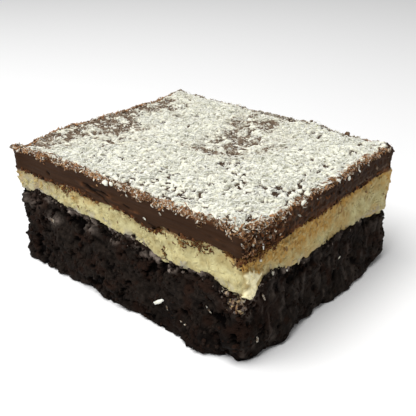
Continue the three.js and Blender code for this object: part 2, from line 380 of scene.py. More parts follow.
def new_group(name, numbers, colours, outputs):
    """An empty node group whose inputs are a place, numbers with their usual values, and colours. Returns
    the group, what it is given and what it puts out."""
    tree = bpy.data.node_groups.new(name, "ShaderNodeTree")
    tree.interface.new_socket("Place", in_out="INPUT", socket_type="NodeSocketVector")
    for key, value in numbers.items():
        number = tree.interface.new_socket(key, in_out="INPUT", socket_type="NodeSocketFloat")
        number.default_value = value
    for key in colours:
        tree.interface.new_socket(key, in_out="INPUT", socket_type="NodeSocketColor")
    for key, kind in outputs.items():
        tree.interface.new_socket(key, in_out="OUTPUT", socket_type=kind)
    return tree, tree.nodes.new("NodeGroupInput").outputs, tree.nodes.new("NodeGroupOutput").inputs


def grain_group():
    """Fine grain: fractal noise less the rounded pits of scattered cells, each by its own share. The mask
    is the noise alone."""
    outputs = {"Height": "NodeSocketFloat", "Mask": "NodeSocketFloat"}
    tree, given, result = new_group("fine_grain", {"Size": 1500, "Pits": 0.5}, [], outputs)
    fine = fractal(tree, given, 4, 0.65)
    pits = add_node(tree, "ShaderNodeTexVoronoi", {"Vector": given["Place"], "Scale": given["Size"]})
    sunk = maths(tree, "MULTIPLY", pits["Distance"], given["Pits"])
    tree.links.new(maths(tree, "SUBTRACT", fine, sunk), result["Height"])
    tree.links.new(fine, result["Mask"])
    return tree


def mottle_group():
    """Two colours in soft patches: fractal noise, sharpened about a balance, mixes one into the other."""
    numbers = {"Size": 400, "Balance": 0.5, "Softness": 0.15}
    outputs = {"Colour": "NodeSocketColor"}
    tree, given, result = new_group("mottle", numbers, ["First", "Second"], outputs)
    clouds = fractal(tree, given, 5, 0.6)
    low = maths(tree, "SUBTRACT", given["Balance"], given["Softness"])
    high = maths(tree, "ADD", given["Balance"], given["Softness"])
    share = add_node(tree, "ShaderNodeMapRange", {"Value": clouds, "From Min": low, "From Max": high})
    colour = mixed(tree, share["Result"], given["First"], given["Second"])
    tree.links.new(colour, result["Colour"])
    return tree


def stain_group():
    """A stain over a colour: its amount, broken up by noise at its own size, mixes the stain in."""
    numbers = {"Size": 900, "Amount": 0, "Break": 1}
    outputs = {"Colour": "NodeSocketColor"}
    tree, given, result = new_group("stain", numbers, ["Colour", "Stain"], outputs)
    centred = maths(tree, "SUBTRACT", fractal(tree, given, 3, 0.6), 0.5)
    broken = maths(tree, "ADD", maths(tree, "MULTIPLY", centred, given["Break"]), 1)
    share = maths(tree, "MULTIPLY", given["Amount"], broken, use_clamp=True)
    colour = mixed(tree, share, given["Colour"], given["Stain"])
    tree.links.new(colour, result["Colour"])
    return tree


GRAIN, MOTTLE, STAIN = grain_group(), mottle_group(), stain_group()


def new_finish(slot):
    """An empty material with nodes, and the object's own coordinates."""
    finish = bpy.data.materials.new(slot)
    finish.use_nodes = True
    return finish, finish.node_tree, add_node(finish.node_tree, "ShaderNodeTexCoord", {})["Object"]


def drawn_out(tree, place, scale):
    """Coordinates on which an effect is drawn out along the axes whose scale is small."""
    return add_node(tree, "ShaderNodeMapping", {"Vector": place, "Scale": scale})["Vector"]


def mottled(tree, place, size, first, second):
    """The colour of two-tone patches."""
    inputs = {"Place": place, "Size": size, "First": first, "Second": second}
    return add_node(tree, "ShaderNodeGroup", inputs, node_tree=MOTTLE)["Colour"]


def stained(tree, place, size, colour, stain, amount, break_up):
    """A colour with a stain over it, as much as the piece's number of the given name says."""
    inputs = {"Place": place, "Size": size, "Amount": number_of(tree, amount), "Break": break_up}
    colours = {"Colour": colour, "Stain": stain}
    return add_node(tree, "ShaderNodeGroup", {**inputs, **colours}, node_tree=STAIN)["Colour"]


def set_surface(tree, colour, place, size, pits, depth, rough, gloss):
    """Gives the shader its colour, bumps of fine grain, a roughness that follows the grain between two
    values, and the strength of its gloss. Returns the shader's inputs."""
    grain = add_node(tree, "ShaderNodeGroup", {"Place": place, "Size": size, "Pits": pits}, node_tree=GRAIN)
    bump = add_node(tree, "ShaderNodeBump", {"Height": grain["Height"], "Distance": depth * MM})
    low, high = rough
    ranged = add_node(tree, "ShaderNodeMapRange", {"Value": grain["Mask"], "To Min": low, "To Max": high})
    shader = tree.nodes["Principled BSDF"].inputs
    tree.links.new(colour, shader["Base Color"])
    tree.links.new(bump["Normal"], shader["Normal"])
    tree.links.new(ranged["Result"], shader["Roughness"])
    shader["Specular IOR Level"].default_value = gloss
    return shader


# Colours: red, green and blue as shares of the light, and 1 for solid
CAKE_DARK = (0.0072, 0.0050, 0.0038, 1)
CAKE_LIGHT = (0.0235, 0.0172, 0.0135, 1)
CAKE_RUSTY = (0.020, 0.010, 0.0065, 1)
CAKE_SHADE_AND_TONE = (0.002, 0.0012, 0.001, 1)
CAKE_SMEARED = (0.24, 0.195, 0.165, 1)
CREAM_DEEP = (0.43, 0.355, 0.162, 1)
CREAM_LIGHT = (0.62, 0.565, 0.302, 1)
CREAM_TAN = (0.46, 0.265, 0.066, 1)
CREAM_BROWN = (0.13, 0.05, 0.018, 1)
CREAM_GREY = (0.36, 0.33, 0.28, 1)
CREAM_PALE_AND_LIT = (0.95, 0.87, 0.56, 1)
CHOCOLATE_DARK = (0.031, 0.0142, 0.0068, 1)
CHOCOLATE_LIGHT = (0.043, 0.0205, 0.0103, 1)
CHOCOLATE_THIN = (0.15, 0.058, 0.022, 1)
CHOCOLATE_SHADE_AND_TONE = (0.007, 0.0035, 0.002, 1)
CHOCOLATE_DUSTY = (0.2, 0.152, 0.108, 1)
COCONUT_CREAMY = (0.80, 0.79, 0.645, 1)
COCONUT_WHITE = (0.89, 0.885, 0.755, 1)
COCONUT_DUSTY = (0.15, 0.104, 0.069, 1)
COCONUT_TAN = (0.36, 0.18, 0.075, 1)
COCONUT_COCOA_AND_SHADE = (0.07, 0.030, 0.014, 1)
FLOOR_COLOUR = (0.95, 0.95, 0.95, 1)


def crumb_finish():
    """Moist dark cake: near black, rusty in patches, and greyish where cream is on it. Painted shade makes it
    darker in its hollows and low by the front corner, and some patches are darker at random.
    """
    finish, tree, place = new_finish("brownie_crumb")
    colour = mottled(tree, place, 900, CAKE_DARK, CAKE_LIGHT)
    colour = stained(tree, place, 1000, colour, CAKE_RUSTY, "warm", 1.6)
    # Painted shade in the hollows and low by the front corner, and darker tone at random
    colour = stained(tree, place, 1300, colour, CAKE_SHADE_AND_TONE, "cake_shade_and_tone", 0.6)
    colour = stained(tree, place, 900, colour, CAKE_SMEARED, "smear", 2.6)
    set_surface(tree, colour, place, size=2600, pits=0.6, depth=0.12, rough=(0.5, 0.85), gloss=0.03)
    return finish


def cream_finish():
    """Pale yellow coconut cream: tan where the knife dragged ganache over it, brown in spots, and grey where
    it is smeared on crumbs. It is paler on the tongue, as clean cream and as painted light on the facet that
    faces the key."""
    finish, tree, place = new_finish("coconut_cream")
    upright = drawn_out(tree, place, (1, 1, 0.35))
    colour = mottled(tree, place, 420, CREAM_DEEP, CREAM_LIGHT)
    colour = stained(tree, upright, 1900, colour, CREAM_TAN, "tan", 2.4)
    colour = stained(tree, place, 1100, colour, CREAM_BROWN, "spots", 1.7)
    colour = stained(tree, place, 900, colour, CREAM_GREY, "smear", 1.5)
    # Paleness: clean cream and painted light on the tongue, and paler cream in the marks of the +X face
    colour = stained(tree, place, 900, colour, CREAM_PALE_AND_LIT, "pale", 0.3)
    set_surface(tree, colour, place, size=2300, pits=0.3, depth=0.09, rough=(0.55, 0.8), gloss=0.1)
    return finish


def ganache_finish():
    """Dark chocolate with faint lengthwise drag lines: orange-brown where it is smeared thin, and dusty with
    coconut. Painted shade darkens its cracks, the grooves of its streaks, the gaps of its torn +X face and
    its top under thick coconut; some crumbs and curls are darker at random."""
    finish, tree, place = new_finish("ganache")
    lengthwise = drawn_out(tree, place, (0.08, 0.08, 1))
    colour = mottled(tree, lengthwise, 900, CHOCOLATE_DARK, CHOCOLATE_LIGHT)
    colour = stained(tree, place, 1300, colour, CHOCOLATE_THIN, "thin", 2)
    # Painted shade in cracks, grooves, gaps and under thick coconut, and darker tone on some crumbs
    colour = stained(tree, place, 1500, colour, CHOCOLATE_SHADE_AND_TONE, "crack", 0.6)
    colour = stained(tree, place, 1500, colour, CHOCOLATE_DUSTY, "dust", 7)
    set_surface(tree, colour, lengthwise, size=2400, pits=0.2, depth=0.05, rough=(0.42, 0.6), gloss=0.03)
    return finish


def coconut_finish():
    """Dry white coconut, each shred its own shade: dusty with cocoa where it lies thin, and tan or dark brown
    on those shreds that the knife caught. The same dark brown is painted shade in the felt's holes and in the
    gaps between its shreds."""
    finish, tree, place = new_finish("dried_coconut")
    colour = mixed(tree, number_of(tree, "shade"), COCONUT_CREAMY, COCONUT_WHITE)
    colour = stained(tree, place, 1500, colour, COCONUT_DUSTY, "dusty", 5)
    colour = stained(tree, place, 900, colour, COCONUT_TAN, "tan", 1.2)
    # Cocoa brown on the shreds that the knife caught, and painted shade in the felt's holes and pits
    colour = stained(tree, place, 900, colour, COCONUT_COCOA_AND_SHADE, "cocoa", 1)
    shader = set_surface(
        tree, colour, place, size=4000, pits=0.3, depth=0.025, rough=(0.5, 0.75), gloss=0.08
    )
    shader["Subsurface Weight"].default_value = 1
    shader["Subsurface Radius"].default_value = (1, 1, 1)
    shader["Subsurface Scale"].default_value = 0.4 * MM
    return finish


FINISHES = {
    "brownie_crumb": crumb_finish(),
    "coconut_cream": cream_finish(),
    "ganache": ganache_finish(),
    "dried_coconut": coconut_finish(),
}

# The three layers

# The torn band of the cake: how far under the cream its middle lies, and its reach up and down
TORN_BAND = {"depth": 1.2, "reach": 2.2}
# Where the torn borders stand higher than the layers do, and bumps of the top: x, y, rise, reach
CAKE_TORN = [(26.6, -29, 1, 1.8), (33.4, -29, 1.9, 2.6)]
CREAM_TORN = [
    (35, -28, 1.1, 4.5),
    (24, -29, 0.5, 4),
    (14, -29, 0.9, 1.6),
    (35, -22, 0.8, 1.8),
    (35, -7, 0.8, 1.8),
]
TOP_BUMPS = [
    (34.4, 27.9, 1.1, 1.7),
    (-34.5, 17, -0.6, 3.5),
    (-34.4, 23.6, -1.2, 1.8),
    (-31, 25, -0.4, 2.5),
    (-29.8, 29, -1.7, 1.6),
    (-27.4, 29.2, 0.4, 0.8),
    (-23.4, 28.6, -0.5, 1.4),
    (25.5, 29, -0.7, 2.6),
    (28.8, 28.6, -0.6, 1.3),
    (-34.2, -25.6, -1.1, 2.1),
]


def bumps_of(xy, places):
    """How much higher a surface stands: a bell round each place."""
    return sum(rise * around(xy, x, y, reach) for x, y, rise, reach in places)


def right_side(xy):
    """0 up to 30 mm from the middle, 1 close to the +X face."""
    return smooth((xy[..., 0] - 30) / 4)


def cream_floor(xy):
    """Where the cake ends: the layer's floor with a torn edge of coarse and fine noise, finer still by the
    +X face."""
    torn = 0.5 * plane_noise(xy, 2.1, 101) + 0.3 * plane_noise(xy, 0.9, 102) + bumps_of(xy, CAKE_TORN)
    return height_of(CREAM_FLOOR, xy) + torn + 0.3 * right_side(xy) * plane_noise(xy, 0.6, 106)


def ganache_floor(xy):
    """Where the cream ends: the layer's floor, torn most by the +X face."""
    torn = lerp(0.28, 0.5, right_side(xy)) * plane_noise(xy, 2.1, 103)
    return height_of(GANACHE_FLOOR, xy) + torn + 0.12 * plane_noise(xy, 0.8, 104) + bumps_of(xy, CREAM_TORN)


def ganache_top(xy):
    """The ganache's own top, under the coconut."""
    return height_of(GANACHE_TOP, xy) + 0.12 * plane_noise(xy, 1.8, 105) + bumps_of(xy, TOP_BUMPS)


def ground(xy):
    """The surface that the block stands on."""
    return np.zeros(xy.shape[:-1])


def cream_foot(xy):
    """The cream's own underside, hidden in the cake."""
    return height_of(CREAM_FLOOR, xy) - SUNK["cream in cake"]


def cream_head(xy):
    """The cream's own top, hidden in the ganache."""
    return ganache_floor(xy) + SUNK["cream in ganache"]


def marks_of(points, marks):
    """How strongly marks show at points of a wall: for each, a bell round its place along its side and up,
    with its own reach each way; the strongest counts."""
    shown = np.zeros(points.shape[:-1])
    for side, along, height, wide, tall, amount in marks:
        away = np.hypot((points[..., SIDES[side][0]] - along) / wide, (points[..., 2] - height) / tall)
        shown = np.maximum(shown, amount * bell(away, 1) * FACES[side])
    return shown


# Marks on the cut faces: side, place along it and height, reach each way, and strength
CAKE_SMEARS = [
    ("front", -33, 19.4, 2.2, 0.9, 0.7),
    ("front", -31.5, 17.4, 4, 1.6, 0.2),
    ("front", -25.2, 19.3, 1.6, 0.8, 0.65),
    ("front", -16.6, 18.9, 1.2, 1, 0.9),
    ("front", -9.5, 18.6, 2, 0.9, 0.7),
    ("front", -1.3, 17.4, 1.6, 1, 0.9),
    ("front", 11.5, 16.6, 5, 1.1, 1),
    ("front", -23, 14.5, 1.7, 1.3, 0.45),
    ("front", -10.5, 16.6, 2.4, 1, 0.5),
    ("front", 35, 14.6, 3, 1.3, 1),
    ("right", -27.5, 14.2, 2.4, 1.5, 1),
    ("right", -15, 17, 3, 0.8, 0.5),
]
CREAM_SMEARS = [
    ("front", 31, 18.2, 3, 0.6, 0.4),
    ("right", -27, 15.8, 2, 0.7, 0.6),
    ("right", 21, 15.8, 7, 0.8, 0.5),
    ("front", -34, 19.8, 2, 0.8, 0.8),
    ("front", -30, 22, 11, 4, 0.35),
]
CREAM_SPOTS = [
    ("front", -15.8, 24, 1.3, 0.9, 1),
    ("front", -22, 24.6, 3, 0.7, 0.5),
    ("front", -23.6, 23.7, 1, 0.5, 0.7),
    ("front", -17.3, 24.2, 1.4, 0.6, 0.9),
    ("front", -9, 24.1, 3, 0.6, 0.5),
    ("front", 2.5, 24, 2, 0.7, 0.8),
    ("front", 5.5, 23.6, 1.2, 0.9, 0.8),
    ("front", 19.6, 23.3, 1.1, 0.5, 0.75),
    ("front", 24.4, 23.7, 1.6, 0.6, 0.7),
    ("front", 32.9, 24.2, 0.8, 0.8, 0.9),
    ("right", -22, 24.2, 2.2, 0.9, 0.6),
]
CREAM_TANS = [
    ("front", -32, 22.8, 6, 2.6, 0.8),
    ("front", -24, 23.4, 4, 1.8, 0.8),
    ("front", -16, 23.2, 3, 1.6, 0.8),
    ("front", -8, 23.4, 3, 1, 0.5),
    ("front", 33.5, 24, 2.4, 1.4, 1),
    ("right", -26, 24.2, 5, 1.5, 1.1),
    ("right", 28.6, 21, 1.4, 4, 0.7),
]
CREAM_PALES = [("right", 29, 21, 1.5, 5, 0.5)]
GANACHE_STREAKS = [("right", 17, 25.9, 5, 0.3, 0.3), ("right", 25, 26.4, 3, 0.3, 0.3)]
# Where the knife pulled the ganache's front face into streaks, as the marks above
PULLED = [("front", -6, 27.2, 8, 1.3, 1), ("front", 5, 26.2, 3, 0.7, 0.8), ("front", 28, 27, 5, 1.2, 0.4)]


def base_relief(points):
    """The cake's cut face, as in the solids: crags, a face that flares to the foot, and a worn foot."""
    height = points[..., 2]
    recess = lerp(BASE_RECESS["foot"], BASE_RECESS["top"], height / CREAM_FLOOR["height"])
    wear = WORN_FOOT["depth"] * np.maximum(0, 1 - height / WORN_FOOT["height"]) ** 2
    return roughness(BASE_ROUGHNESS, points) - recess - wear


def base_detail(points):
    """Crumbs of two sizes as rounded cells, cavities and pits where noise passes a limit, and fine noise. All
    are stronger in the torn band under the cream. The +X face is smoother, with upright drag lines."""
    torn = bell(above(CREAM_FLOOR, points) + TORN_BAND["depth"], TORN_BAND["reach"])
    calm = 1 - 0.5 * RIGHT_FACE
    coarse, fine = cells(points, 2.4, 201), cells(points, 1.05, 205)
    cavities = smooth((rough_noise(points, 3.3, 209, 4) + 0.35 * torn - 0.42) / 0.3)
    pits = smooth((rough_noise(points, 1.5, 211, 3) + 0.25 * torn - 0.5) / 0.3)
    drag = 0.16 * noise(points * [1, 1, 0.16], 0.7, 213) * RIGHT_FACE
    crumbs = 0.5 * (0.5 - coarse) + 0.45 * (0.5 - fine) + 0.3 * rough_noise(points, 1.1, 217)
    crumbs = crumbs * calm * (1 + 0.7 * torn) + drag
    return crumbs - (1.1 * cavities + 0.6 * pits) * calm


def make_layer(name, slot, wall, floor, top, top_rings, wall_values, top_values=None):
    """One layer: its wall, closed by rings over its floor and its top, with named numbers on the wall and
    also on the top where top_values works them out from the plan."""
    points, triangles, span = closed_slab(wall, floor, top, HIDDEN_RINGS, top_rings)
    values = {key: np.zeros(len(points)) for key in wall_values}
    for key, value in wall_values.items():
        values[key][span] = value.ravel()
    if top_values:
        for key, value in top_values(points[span.stop :, :2]).items():
            values[key][span.stop :] = value
    return make_piece(name, slot, points, triangles, values)


def make_base():
    """The cake: its wall carved with crumbs and pores, less so at the foot, a flat underside and a hidden
    top. Painted shade makes it darkest in its hollows and low down by the front corner, and some patches are
    darker at random."""
    plain = wall_of(ground, cream_floor, np.linspace(0, 1, BASE_ROWS), base_relief, BASE_LUMPS)
    detail = base_detail(plain)
    foot_fade = smooth(plain[..., 2] / 0.6)
    wall = plain + (detail * lerp(0.45, 1, foot_fade))[..., None] * grid_normals(plain)
    wall[..., 2] = np.maximum(wall[..., 2], 0)
    wall[0, :, 2] = 0
    # Painted shade: near black in the hollows of the carved detail and low down by the front corner, with
    # darker patches at random
    corner = around(wall, x=30, y=-29, reach=17) * bell(wall[..., 2], 9)
    deep = patches(wall, 5.2, 225, 0.1, 1.5)
    cake_shade_and_tone = smooth((-0.1 - detail) / 0.6) + 0.8 * corner * lerp(0.6, 1.2, deep) + 0.25 * deep
    rusty = 0.7 * around(wall, x=33, y=-29, reach=8) * bell(wall[..., 2] - 12, 7)
    warm = smooth(-0.3 + rusty + 1.5 * noise(wall, 2.6, 223) + 0.5 * bell(detail + 0.3, 0.3))
    patchy = patches(wall, 3.4, 221, 0.1, 1.4)
    thick = 0.6 * bell(below(CREAM_FLOOR, wall), 1.1) * patchy
    thick = np.maximum(thick, 1.2 * marks_of(wall, CAKE_SMEARS))
    dragged = 0.12 * RIGHT_FACE * patches(wall * [1, 1, 0.25], 0.9, 227, -0.1, 1.6)
    smear = thick * smooth((detail + 0.45) / 0.5) + dragged
    values = {"cake_shade_and_tone": np.clip(cake_shade_and_tone, 0, 1), "warm": warm, "smear": smear}
    piece = make_layer("brownie", "brownie_crumb", wall, ground, cream_floor, HIDDEN_RINGS, values)
    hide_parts("brownie_base")
    return wall


def cream_relief(points):
    """The cream's cut face, as in the solids, drawn in where it goes under and behind its neighbours."""
    torn = bumps_of(points[..., :2], CAKE_TORN)
    up = above(CREAM_FLOOR, points) - torn
    down = below(GANACHE_FLOOR, points)
    tuck = (0.9 + 0.5 * torn) * smooth(-up / 0.9) * (1 - tongue_of(points)) + 0.3 * smooth(-down / 0.3)
    return roughness(CREAM_ROUGHNESS, points) - CREAM_RECESS - tuck


def corner_run(points):
    """How far points lie round the front corner: along the +X face where positive, the front where negative.
    Points of the left half are put far away."""
    past_x, past_y = points[..., 0] - BLOCK_HALF[0], points[..., 1] + BLOCK_HALF[1]
    return past_y + past_x + FAR * (points[..., 0] < 0)


# The pale tongue that the knife drew round the front corner, its paleness partly clean cream and partly
# painted light on a facet that faces the key: its upper border as heights at distances past the corner, its
# near and far borders as distances at heights, how far round the corner it can reach, its foot, and the
# height below which the cream by the corner isn't tan
TONGUE_TOP = ([0, 0.8, 2.7, 4.6, 6.7], [21.7, 22.2, 21.8, 20.7, 20.2])
TONGUE_START = ([15.8, 16.6, 17.6, 18.3, 18.9, 20.4, 21.9], [2, 0.6, 0, 0.8, 2.1, 1.5, 0.2])
TONGUE_END = ([15, 16.2, 17.8, 19.2, 19.6, 20, 22], [2.8, 3.8, 4.2, 4.2, 5.2, 6.8, 7.2])
TONGUE_REACH = 12
TONGUE_FOOT = 15.4
CLEAN_BELOW = 22.6


def tongue_of(points):
    """1 on the pale tongue, 0 beyond its borders, which small noise wears ragged."""
    run = corner_run(points) + 0.35 * noise(points, 1.1, 233)
    height = points[..., 2] + 0.3 * noise(points, 0.9, 234)
    under = smooth((np.interp(run, *TONGUE_TOP) - height) / 0.35)
    before = smooth((np.interp(height, *TONGUE_END) - run) / 0.5)
    after = smooth((run - np.interp(height, *TONGUE_START)) / 1.5 + 0.5)
    near = smooth((TONGUE_REACH - np.abs(run)) / 2) * smooth((height - TONGUE_FOOT) / 0.5)
    return under * before * after * near


def cream_detail(points):
    """Soft lumps as rounded cells of two sizes, fine fibrous noise, and the tongue standing proud."""
    large, small = cells(points, 1.7, 231), cells(points, 0.8, 237)
    soft = 0.3 * (0.5 - large) + 0.28 * (0.5 - small) + 0.2 * rough_noise(points, 1.6, 235)
    fibres = lerp(0.06, 0.2, RIGHT_FACE) * noise(points * [1, 1, 0.25], 0.55, 239)
    return soft + fibres + 0.5 * tongue_of(points)


def tan_of(points):
    """How tan the cream is. On the +X face: drag marks down from the ganache, most of the height by the
    front corner and less towards the back, and soft patches all over. Elsewhere: a broken rim."""
    xy = points[..., :2]
    share = above(CREAM_FLOOR, points) / (height_of(GANACHE_FLOOR, xy) - height_of(CREAM_FLOOR, xy))
    streaks = 0.5 + 0.5 * noise(points * [1, 1, 0.12], 0.8, 243)
    clouds = noise(points, 3.2, 245)
    along = (points[..., 1] + BLOCK_WIDTH / 2) / BLOCK_WIDTH
    reach = 0.67 - 0.45 * smooth((along - 0.3) / 0.5) - 0.3 * clouds
    low_corner = bell(corner_run(points), 2.5) * smooth((CLEAN_BELOW - points[..., 2]) / 0.8)
    dragged = smooth((share - 0.85 + reach) / 0.35) * lerp(0.6, 1, streaks) * (1 - low_corner)
    everywhere = 0.48 * smooth(0.5 + clouds)
    side = np.clip(dragged + everywhere, 0, 1) * RIGHT_FACE
    rim = smooth((share - 0.8 + 0.25 * clouds) / 0.25) * 0.5 * (1 - RIGHT_FACE)
    broken = patches(points, 1.6, 244, 0.55, 1.1)
    return np.clip(side + rim + marks_of(points, CREAM_TANS) * broken, 0, 1) * (1 - tongue_of(points))


def make_cream():
    """The cream: a wall a little taller than the layer, so that its edges run under the cake's and the
    ganache's, and the torn borders are where the surfaces cross."""
    plain = wall_of(cream_foot, cream_head, np.linspace(0, 1, CREAM_ROWS), cream_relief, CREAM_LUMPS)
    wall = carve(plain, cream_detail)
    tongue = tongue_of(wall)
    up, down = above(CREAM_FLOOR, wall), below(GANACHE_FLOOR, wall)
    patchy = patches(wall, 2.8, 247, 0.2, 1.2)
    thick = 0.9 * bell(up, 1.2) * patchy * (1 - 0.7 * RIGHT_FACE)
    thick = np.maximum(thick, 1.3 * marks_of(wall, CREAM_SMEARS))
    spotty = patches(wall, 2.1, 249, -0.3, 1.6)
    marks = marks_of(wall, CREAM_SPOTS) * patches(wall, 0.8, 250, 0.4, 1.6)
    speckled = noise(wall * [1, 1, 0.5], 0.45, 248) + 0.5 * noise(wall, 2.5, 252)
    specks = 0.6 * RIGHT_FACE * smooth((speckled - 0.5) / 0.2) * smooth((up - 2.5) / 3)
    brown = bell(down, 0.7) * spotty + 0.9 * bell(down, 0.3) + marks + specks * (1 - tongue)
    values = {
        "tan": tan_of(wall),
        "spots": np.clip(brown, 0, 1),
        "smear": thick * (1 - tongue),
        # Paleness: clean cream and painted light on the tongue, and paler cream in the +X face's marks
        "pale": np.maximum(tongue, marks_of(wall, CREAM_PALES)),
    }
    piece = make_layer("cream", "coconut_cream", wall, cream_foot, cream_head, HIDDEN_RINGS, values)
    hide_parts("coconut_cream")
    return wall


def ganache_relief(points):
    """The ganache's cut face, as in the solids, with its edges rounded over."""
    down, up = below(GANACHE_TOP, points), above(GANACHE_FLOOR, points)
    rounding = 0.45 * np.maximum(0, 1 - down / 0.7) ** 2 + 0.25 * np.maximum(0, 1 - up / 0.5) ** 2
    return roughness(GANACHE_ROUGHNESS, points) - rounding


# Cracks and a pit in the ganache's front face: x and height at both ends, and half the width
CRACKS = [
    (-10.2, 27.9, -7.6, 27.7, 0.2),
    (-6.6, 27.2, -3.4, 26.4, 0.17),
    (-4.2, 27.7, -1.6, 27.4, 0.17),
    (-3.4, 26.1, -1.8, 25.3, 0.2),
    (2.9, 26.7, 4.4, 26.3, 0.2),
    (-22.8, 26.9, -22.4, 26.8, 0.34),
    (10, 24.6, 13, 24.2, 0.14),
]


def crack_of(points):
    """1 in the cracks of the front face, falling to 0 over their width: the distance to each short line."""
    deepest = np.zeros(points.shape[:-1])
    points = points + 0.22 * np.stack([noise(points, 1.3, seed) for seed in (258, 259, 260)], -1)
    for x0, z0, x1, z1, half in CRACKS:
        along = np.array([x1 - x0, z1 - z0])
        away = points[..., [0, 2]] - [x0, z0]
        share = np.clip((away @ along) / (along @ along), 0, 1)
        gap = np.linalg.norm(away - share[..., None] * along, axis=-1)
        deepest = np.maximum(deepest, smooth(1.4 - gap / half))
    return deepest * FRONT_FACE


def streaks_of(points):
    """Streaks along the pulled places, from -1 to 1: noise drawn out along the face."""
    return marks_of(points, PULLED) * noise(points * [0.28, 0.28, 1], 0.5, 265)


def ganache_detail(points):
    """A knife-cut face: shallow lengthwise lines, cracks, and the +X face rougher with small torn lumps."""
    lines = 0.05 * noise(points * [0.05, 0.05, 1], 0.35, 251) + 0.05 * noise(points * [0.1, 0.1, 1], 0.9, 253)
    lines = lines + 0.22 * streaks_of(points)
    torn = 0.5 * (0.5 - cells(points, 1.1, 255)) + 0.25 * rough_noise(points, 1.3, 257)
    near = lerp(0.35, 1.2, bell(corner_run(points) - 4, 11))
    return lines + lerp(0.12, near, RIGHT_FACE) * torn * (1 - 0.5 * FRONT_FACE) - 0.25 * crack_of(points)


def under_coconut(xy):
    """The ganache's top: dusty where the coconut lies thin, and darkened with painted shade where it lies
    thick.
    """
    thin = thin_share(xy)
    return {"dust": lerp(0.2, 0.6, smooth(2.2 * thin)), "crack": 0.3 * smooth(1 - 2.2 * thin)}


def make_ganache():
    """The ganache slab: its cut faces, a smeared lower rim, and a gently waved top. Its +X face is blotched
    most by the front corner."""
    shares = np.linspace(0, 1, GANACHE_ROWS)
    plain = wall_of(ganache_floor, ganache_top, shares, ganache_relief, GANACHE_LUMPS)
    wall = carve(plain, ganache_detail)
    run = corner_run(wall)
    up, down = above(GANACHE_FLOOR, wall), below(GANACHE_TOP, wall)
    patchy = patches(wall, 2.6, 261, 0.35, 1.3)
    rim = (0.9 * bell(up, 0.6 + 0.3 * RIGHT_FACE) + 0.5 * bell(down, 0.5)) * patchy
    near = bell(run - 3, 15) * RIGHT_FACE
    blotches = 0.9 * patches(wall, 1.5, 263, -0.2, 1.8) * near
    fine = patches(wall, 0.7, 271, -0.5, 2.2) * RIGHT_FACE
    blotches = blotches + 0.95 * fine * lerp(0.12, 1, bell(run - 6, 15))
    streaks = streaks_of(wall)
    # Dark gaps between the torn lumps of the +X face: painted shade
    gaps = patches(wall, 1.3, 269, -0.25, 1.9) * lerp(0.3, 1, bell(run - 3, 11)) * RIGHT_FACE
    flecked = patches(wall, 1.1, 267, -0.15, 1.9) * lerp(0.25, 1, bell(run - 3, 11))
    values = {
        "thin": np.clip(rim + blotches + 0.5 * smooth(2 * streaks - 0.1), 0, 1),
        # Painted shade in the cracks, in the grooves where the streaks dip, and in the gaps
        "crack": np.max([crack_of(wall), smooth(-2.2 * streaks - 0.2), 1.2 * gaps], 0),
        "dust": 0.3 * flecked * RIGHT_FACE + marks_of(wall, GANACHE_STREAKS),
    }
    piece = make_layer(
        "ganache", "ganache", wall, ganache_floor, ganache_top, TOP_RINGS, values, under_coconut
    )
    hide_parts("ganache_top")
    return wall


# Loose pieces: joined meshes in which every piece has a place, three axes and a size of its own


def turned(heading, pitch, roll):
    """Axes of pieces that lie flat: turned by heading, tipped by pitch, rolled about their length."""
    level = np.cos(pitch)
    along = np.stack([np.cos(heading) * level, np.sin(heading) * level, np.sin(pitch)], -1)
    side = np.stack([-np.sin(heading), np.cos(heading), np.zeros_like(heading)], -1)
    up = np.cross(along, side)
    across = np.cos(roll)[:, None] * side + np.sin(roll)[:, None] * up
    return np.stack([along, across, np.cross(along, across)], 1)


def on_face(rng, normals, spread):
    """Axes of pieces that lie on a face: random headings in the face's plane, tipped a little."""
    loose = rng.normal(size=normals.shape)
    along = loose - (loose * normals).sum(-1, keepdims=True) * normals
    along = along / np.linalg.norm(along, axis=-1, keepdims=True)
    along = along + spread * rng.normal(size=(len(normals), 1)) * normals
    along = along / np.linalg.norm(along, axis=-1, keepdims=True)
    across = np.cross(normals, along)
    across = across / np.linalg.norm(across, axis=-1, keepdims=True)
    return np.stack([along, across, np.cross(along, across)], 1)


def shred_shapes(rng, length, width, thickness, stations=4, bend=0.16):
    """Shreds: a diamond section carried along a bowed line. The line is bowed by (1 - u squared), and the
    section narrows to the ends as the root of (1 - 0.8 u squared)."""
    count = len(length)
    u = np.linspace(-1, 1, stations)[None, :, None]
    corners = np.array([[1, 0], [0, 1], [-1, 0], [0, -1]])
    bow, arch = (rng.uniform(-bend, bend, (2, count)) * length)[:, :, None, None]
    narrow = np.sqrt(1 - 0.8 * u**2) * rng.uniform(0.75, 1.25, (count, stations, 1))
    x = length[:, None, None] / 2 * u + np.zeros((count, stations, 4))
    y = bow * (1 - u**2) + width[:, None, None] / 2 * narrow * corners[:, 0]
    z = arch * (1 - u**2) + thickness[:, None, None] / 2 * narrow * corners[:, 1]
    ring = np.arange(4)
    after = (ring + 1) % 4
    start = 4 * np.arange(stations - 1)[:, None]
    near, far = start + ring, start + 4 + ring
    near_after, far_after = start + after, start + 4 + after
    sides = [(near, near_after, far_after), (near, far_after, far)]
    triangles = np.concatenate([np.stack(np.broadcast_arrays(*side), -1).reshape(-1, 3) for side in sides])
    last = 4 * (stations - 1)
    ends = np.array([[0, 2, 1], [0, 3, 2], [last, last + 1, last + 2], [last, last + 2, last + 3]])
    return np.stack([x, y, z], -1).reshape(count, -1, 3), np.concatenate([triangles, ends])


